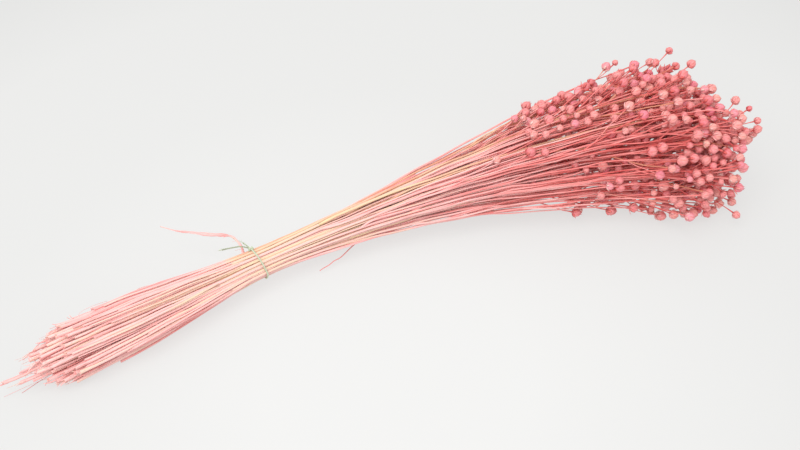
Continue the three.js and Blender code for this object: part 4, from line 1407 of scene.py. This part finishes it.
def add_foot_shoot(shape, stem, draw):
    """A thin stalk beside a stem between the cord and the cut ends."""
    form = FOOT_SHOOT
    start, stop = form.start - form.ragged * draw(), stem.butt + form.stop + form.ragged * draw()
    stations = np.linspace(stop, start, round((start - stop) / THIN_STEP) + 2)
    share = (start - stations) / (start - stop)
    turns = TURN * draw() + form.turning * (draw() - 0.5) * share
    reach = form.reach + (form.off + form.more * draw()) * np.clip(share * form.leaves, 0, 1)
    own, tone = draw(), draw()
    dye = stem_dye(stem, stations, own) + form.dyed
    radii = (form.radius + form.thicker * draw()) * np.interp(share, *FOOT_SHOOT_WIDTH)
    points = stem.strand.at(stations) + aside(turns, reach)
    shape.tube(points, radii, BRANCH_SIDES, STEM, dye, min(tone, NOT_STRAW))


def add_filler(shape, stem, first, last, draw):
    """A thin stalk in the hollow beside a stem, from about first to about last."""
    start, stop = first + FILLER.ragged * draw(), last - FILLER.ragged * draw()
    stations = np.linspace(start, stop, round((start - stop) / THIN_STEP) + 2)
    home = np.array(from_space(stem.strand.at(0.0)[0])[1:]) - (0, TIE_HEIGHT)
    inward = math.atan2(-home[1], -home[0]) + FILLER.turning * (draw() - 0.5)
    reach = FILLER.reach + (FILLER.off + FILLER.more * draw()) * (np.abs(stations) / FILLER.over)
    own, tone = draw(), min(draw(), NOT_STRAW)
    ends = (stop, stop + FILLER.ends, start - FILLER.ends, start)
    radii = FILLER.radius * np.interp(stations, ends, FILLER.widths)
    points = stem.strand.at(stations) + aside(np.full_like(stations, inward), reach)
    shape.tube(points, radii, BRANCH_SIDES, STEM, stem_dye(stem, stations, own), tone)


def smooth_line(points, steps):
    """A smooth line through the points, so many steps from one to the next, and its shares."""
    points = np.asarray(points, float)
    padded = np.vstack([2 * points[0] - points[1], points, 2 * points[-1] - points[-2]])
    made = []
    for a, b, c, d in zip(padded, padded[1:], padded[2:], padded[3:]):
        for t in np.arange(steps) / steps:
            square = (2 * a - 5 * b + 4 * c - d) * t**2
            cube = (3 * b - a - 3 * c + d) * t**3
            made.append(0.5 * (2 * b + (c - a) * t + square + cube))
    return np.array([*made, points[-1]]), np.linspace(0, 1, len(made) + 1)


def ripple(share, level, *waves):
    """A level with waves on it, each of a size and a rate."""
    for size, rate in waves:
        level = level + size * np.sin(share * rate)
    return level


def add_sliver(shape, places, form, radius, dye, turn=None, tone=BARK_TONE, slot=STEM):
    """A thin piece through some places, from its radius to a narrow end."""
    points, _ = smooth_line(places, form.steps)
    radii = radius * np.linspace(1, form.narrows, len(points))
    shape.tube(points, radii, form.sides, slot, dye, tone, flat=form.flat, turn=turn)


def add_bridge(shapes, across, above, draw):
    """A stalk through the open place between the upper and the lower stems."""
    places = np.array([to_space(s, y + across, z + above) for s, y, z in BRIDGE])
    first, last = BRIDGE[0][0], BRIDGE[-1][0]
    start = first - BRIDGE_ROOT
    stem = nearest(mains, places[0], lambda stem: stem.strand.at(first)[0])
    points, share = smooth_line([stem.strand.at(start)[0], *places], BRIDGE_STEPS)
    own, tone = draw(), min(draw(), NOT_STRAW)
    dye = stem_dye(stem, start + share * (last - start), own)
    radii = BRIDGE_RADIUS[0] - BRIDGE_RADIUS[1] * share
    shapes[stem.plant].tube(points, radii, BRANCH_SIDES, STEM, dye, tone)


# The strip of bark, the tendril and the loose fibres

STRIP_WIDTH = ((0, 0.1, 0.3, 0.55, 0.8, 1), (1.3, 1.6, 1.45, 1.35, 1.1, 0.35))
# Its two layers: how far the second lies off, and their widths and thicknesses
STRIP_LAYERS = ((0.0, 1.0, 0.55), (0.45, 0.5, 0.4))
STRIP_FORM = Values(steps=8, sides=8, aside=0.1, above=0.7, dyed=0.2)
STRIP_RIPPLES = Values(
    width=(1, (0.12, 41), (0.06, 97)), height=(0, (0.7, 23)), dye=(0.46, (0.08, 17)),
    turn=(0.5, (0.9, 7.5), (0.3, 19)),
)
STRIP_HAIRS = Values(count=5, first=0.1, apart=0.17, radius=0.13, back=2.5, further=3, aside=2.5,
                     shift=1.0, up=1.5, bend=(0.5, 0.6), steps=4, sides=4, narrows=1, flat=1.0)
TENDRIL_FORM = Values(steps=7, sides=6, waves=(0.35, 15), radius=0.42, thins=0.14, dye=0.72,
                      tone=0.9)
FIBRE = Values(count=2, more=4, back=1, ragged=18, root=0.7, length=3, longer=12, curl=0.15,
               curlier=0.85, bend=(0.55, 0.16), end=(0.3, 0.62), clear=0.4, width=0.14,
               wider=0.6, twist=2, dye=0.34, dyed=0.22, steps=5, sides=5, narrows=0.35, flat=0.3)
SHRED = Values(count=1, more=3, root=3, off=0.8, length=4, longer=10, unevenness=1.5,
               spread=0.05, wide=0.3, bend=(0.6, 0.3), width=0.35, wider=0.5, turn=1.6,
               twist=1.5, dye=0.3, dyed=0.22, steps=4, sides=6, narrows=0.3, flat=0.35)
# Loose bark: where it lies along, across and above, its radius and its dye
HAIRS = (
    (((-152.9, -32.1, 6), (-165.1, -34.7, 4), (-178.3, -38.0, 1)), 0.3, 0.95),
    (((-151.3, -33.7, 5), (-172.1, -34.9, 3), (-190.1, -36.9, 1)), 0.2, 0.6),
    (((-129.3, 1.2, 14), (-129.8, 2.6, 17), (-125.9, 4.1, 18), (-117.9, 6.7, 17),
      (-109.4, 9.1, 15)), 0.2, 0.6),
    (((-90.0, 8.7, 16), (-85.1, 10.0, 18), (-76.5, 9.7, 18), (-67.7, 7.3, 18)), 0.3, 0.55),
    (((-96.8, -31.5, 8), (-102.3, -32.8, 10), (-107.7, -34.5, 9), (-110.8, -37.3, 6)), 0.55, 0.5),
    (((-126.0, -31.5, 14), (-128.6, -35.0, 14), (-131.8, -36.9, 10)), 0.5, 0.5),
    (((-153.5, -8.3, 14), (-161.1, -10.3, 12), (-166.3, -11.5, 8)), 0.6, 0.55),
    (((-144.7, -6.0, 15), (-151.5, -5.3, 15), (-156.9, -6.6, 10)), 0.5, 0.55),
    (((-125.1, -39.2, 5), (-131.4, -38.7, 4), (-135.0, -37.6, 2)), 0.5, 0.6),
    (((-85.7, -31.2, 24), (-96.1, -31.9, 24), (-106.1, -29.1, 23)), 0.35, 0.5),
)
HAIR = Values(root=6, thins=0.55, flat=0.5, turn=2.5, steps=9, sides=6)


def add_strip(shape, stem, draw):
    """A torn ribbon of bark, curled across its width, that narrows to its free end."""
    form, waves, hairs = STRIP_FORM, STRIP_RIPPLES, STRIP_HAIRS
    points, share = smooth_line([stem.strand.at(STRIP_FROM)[0], *STRIP], form.steps)
    width = np.interp(share, *STRIP_WIDTH) * ripple(share, *waves.width)
    points[:, 2] += ripple(share, *waves.height) * share
    turn, dye = ripple(share, *waves.turn), ripple(share, *waves.dye)
    for off, wide, flat in STRIP_LAYERS:
        layer = points + np.array([0.0, form.aside, off * form.above])
        looks = dye + off * form.dyed, BARK_TONE + off
        shape.tube(layer, width * wide, form.sides, STEM, *looks, turn=turn + off, flat=flat)
    for k in range(hairs.count):
        start = int(len(points) * (hairs.first + hairs.apart * k))
        x, y = -hairs.back - hairs.further * draw(), hairs.aside * draw() - hairs.shift
        out = np.array([x, y, hairs.up * draw()])
        bend = points[start] + out * hairs.bend[0] + np.array([0.0, 0.0, hairs.bend[1]])
        places = [points[start], bend, points[start] + out]
        add_sliver(shape, places, hairs, hairs.radius, dye[start])


def add_tendril(shape, stem):
    form = TENDRIL_FORM
    points, share = smooth_line([stem.strand.at(TENDRIL_FROM)[0], *TENDRIL], form.steps)
    points[:, 1] += ripple(share, 0, form.waves)
    radii = form.radius - form.thins * share
    shape.tube(points, radii, form.sides, STEM, form.dye, form.tone)


def add_fibres(shape, stem, draw):
    """Bark torn loose at the cut end, as flat slivers and thin hairs."""
    form = FIBRE
    for _ in range(form.count + int(form.more * draw())):
        s = stem.butt + form.back + form.ragged * draw() ** 2
        out = towards(ACROSS, UP, TURN * draw())
        length, curl = form.length + form.longer * draw(), form.curl + form.curlier * draw()
        root = stem.strand.at(s)[0] + out * form.root
        bend = root - ALONG_TIE * length * form.bend[0] + out * curl * length * form.bend[1]
        straight = 1.0 - form.end[0] * curl
        end = root - ALONG_TIE * length * straight + out * curl * length * form.end[1]
        lift = max(0.0, form.clear - min(bend[2], end[2]))
        bend[2] += lift
        end[2] += lift
        width = form.width + form.wider * draw() ** 2
        turn = np.linspace(0, form.twist, 2 * form.steps + 1)
        add_sliver(shape, [root, bend, end], form, width, form.dye + form.dyed * draw(), turn)


def add_shreds(shape, stem, draw):
    """Flat strips that the cut left standing out past the end of the stem."""
    form = SHRED
    root = stem.strand.at(stem.butt + form.root)[0]
    ahead = unit(stem.strand.at(stem.butt)[0] - root)
    for _ in range(form.count + int(form.more * draw())):
        turn = TURN * draw()
        out = towards(ACROSS, UP, turn)
        length = form.length + form.longer * draw() ** form.unevenness
        spread = form.spread + form.wide * draw()
        start = root + out * form.off
        bend = start + ahead * length * form.bend[0] + out * spread * length * form.bend[1]
        end = start + ahead * length + out * spread * length
        width = form.width + form.wider * draw()
        turns = turn + form.turn + np.linspace(0, form.twist * draw(), 2 * form.steps + 1)
        add_sliver(shape, [start, bend, end], form, width, form.dye + form.dyed * draw(), turns)


def add_hair(shapes, places, radius, dye):
    """A loose fibre, rooted in the stem that is nearest to its first point."""
    first = np.array(places[0], float)
    along = first[0] / math.cos(TIE_HEADING)
    stem = nearest(mains, first, lambda stem: stem.strand.at(max(along, stem.butt))[0])
    root = stem.strand.at(max(along, stem.butt) + HAIR.root)[0]
    points, share = smooth_line([root, *places], HAIR.steps)
    radii, turns = radius * (1 - HAIR.thins * share), HAIR.turn * share
    looks = HAIR.sides, STEM, dye, BARK_TONE
    shapes[stem.plant].tube(points, radii, *looks, flat=HAIR.flat, turn=turns)


# The cord

LOOP = Values(room=0.1, steps=160, stem=1.08, facings=90, facing=0.3)
STRAND = Values(off=0.5, radius=0.56, sides=7, per_turn=9, fewest=12, pitch=2.7, tone=0.2,
                apart=9)
KNOT = Values(radius=0.52, out=0.7, steps=40, waver=0.7, slow=0.5)
# The knot's wraps: turns, how far they reach, and how far along the bunch they lie
WRAPS = ((2.2, 1.15, -0.9), (1.4, 0.95, 0.9))
TAIL = Values(spread=((0, 0.75, 1), (1, 1, 1.8)), dyes=(0.75, 0.45), steps=10)
FRAY = Values(count=9, least=1.2, range=2.6, out=0.15, more=0.5, bend=(0.5, 0.12), radius=0.09,
              dye=0.2, tone=0.4, steps=4, sides=4, narrows=1, flat=1.0)


def cord_path():
    """The cord keeps to the outline of the round stems that it holds."""
    places = [(*stem.places[TIE_STATION], stem.strand.radius(0.0) * LOOP.stem) for stem in mains]
    turns = ring_angles(LOOP.facings)
    reaches = np.array([
        max(y * math.cos(t) + (z - TIE_HEIGHT) * math.sin(t) + r for y, z, r in places)
        for t in turns
    ]) + CORD_RADIUS + LOOP.room

    def at(turn):
        facing = np.cos(turns - turn)
        ahead = facing > LOOP.facing
        reach = float(np.min(reaches[ahead] / facing[ahead]))
        askew = -CORD_TILT * math.cos(turn - KNOT_TURN)
        y, z = reach * math.cos(turn), TIE_HEIGHT + reach * math.sin(turn)
        return to_space(min(0.0, askew), y, z) + ALONG_TIE * max(0.0, askew)

    return at


def add_twine(shape, points, dye=0.0, spread=None, radius=CORD_RADIUS):
    """Two strands twisted round each other along points, parting where spread says so."""
    lengths = lengths_along(points)
    count = max(STRAND.fewest, int(lengths[-1] / STRAND.pitch * STRAND.per_turn))
    even = np.linspace(0, lengths[-1], count)
    middle = np.stack([np.interp(even, lengths, points[:, k]) for k in range(3)], 1)
    _, lefts, rises = frames(middle)
    apart = np.ones(count) if spread is None else np.interp(even / lengths[-1], *spread)
    for phase in (0.0, math.pi):
        twisted = circle(lefts, rises, TURN * even / STRAND.pitch + phase)
        strand = middle + radius * STRAND.off * apart[:, None] * twisted
        tone = STRAND.tone + phase / STRAND.apart
        shape.tube(strand, radius * STRAND.radius, STRAND.sides, 0, dye, tone)


def make_twine(draw):
    shape = Shape()
    at = cord_path()
    turns = np.linspace(0, TURN, LOOP.steps)
    add_twine(shape, np.array([at(KNOT_TURN + turn) for turn in turns]))
    out = unit(towards(ACROSS, UP, KNOT_TURN))
    side = np.cross(ALONG_TIE, out)
    middle = at(KNOT_TURN) + out * KNOT.out
    for turns, reach, shift in WRAPS:
        angle = np.linspace(0, TURN * turns, KNOT.steps)
        aslant = shift + KNOT.waver * np.sin(angle * KNOT.slow)
        wrap = middle + ALONG_TIE * aslant[:, None] + circle(out, side, angle) * reach
        add_twine(shape, wrap, radius=KNOT.radius)
    for points, dye in zip(CORD_TAILS, TAIL.dyes):
        line, _ = smooth_line([middle, *points], TAIL.steps)
        add_twine(shape, line, dye=dye, spread=TAIL.spread, radius=KNOT.radius)
        end = line[-1]
        way = unit(end - line[-4])
        for _ in range(FRAY.count):
            off = towards(np.cross(way, UP), UP, TURN * draw())
            reach = FRAY.least + FRAY.range * draw()
            tip = end + way * reach + off * reach * (FRAY.out + FRAY.more * draw())
            bend = end + way * reach * FRAY.bend[0] + off * reach * FRAY.bend[1]
            places = [end - way, bend, tip]
            add_sliver(shape, places, FRAY, FRAY.radius, FRAY.dye, tone=FRAY.tone, slot=0)
    return shape


def place_piece(shape, name, materials, node):
    mesh = shape.mesh(name)
    for material in materials:
        mesh.materials.append(material)
    piece = bpy.data.objects.new(name, mesh)
    bpy.context.scene.collection.objects.link(piece)
    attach(piece, "root")
    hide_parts(node)


shapes = [Shape() for _ in range(PLANTS)]
detail = random_stream(SEED + STREAMS.detail)
for stem in stems:
    add_stem(shapes[stem.plant], stem, detail)
for branch in branches + twigs:
    add_branch(shapes[branch.plant], branch, detail)
following = random_stream(SEED + STREAMS.followers)
for stem in stems * FOLLOWERS:
    add_follower(shapes[stem.plant], stem, following)
for stem in mains:
    add_fibres(shapes[stem.plant], stem, detail)
    add_shreds(shapes[stem.plant], stem, detail)
for hair in HAIRS:
    add_hair(shapes, *hair)
for stem in mains * FOOT_SHOOTS:
    add_foot_shoot(shapes[stem.plant], stem, detail)
for across, above in BRIDGES:
    add_bridge(shapes, across, above, detail)
for first, last in FILLERS:
    for stem in mains:
        add_filler(shapes[stem.plant], stem, first, last, detail)
add_strip(shapes[STRIP_PLANT], stems[STRIP_PLANT], detail)
add_tendril(shapes[TENDRIL_PLANT], stems[TENDRIL_PLANT])
for number, shape in enumerate(shapes, 1):
    place_piece(shape, f"flax_{number:02d}", PLANT_MATERIALS, f"plant_{number:02d}")
place_piece(make_twine(detail), "twine", [twine], "tie")

# Floor and light

FLOOR_SIZE = 12
KEY = Values(place=Vector((-0.75, -0.55, 1.9)), size=1.8, power=30)
WHITE = (1.0, 1.0, 1.0, 1.0)

bpy.ops.mesh.primitive_plane_add(size=FLOOR_SIZE)
floor = bpy.context.object
floor.name = "floor"
floor.data.materials.append(floor_material())

light = bpy.data.lights.new("key", "AREA")
light.shape = "DISK"
light.size = KEY.size
light.energy = KEY.power
stand("key", light, KEY.place, KEY.place)
world = bpy.data.worlds.new("studio")
world.use_nodes = True
background = world.node_tree.nodes["Background"]
background.inputs["Color"].default_value = WHITE
background.inputs["Strength"].default_value = 1.0
bpy.context.scene.world = world
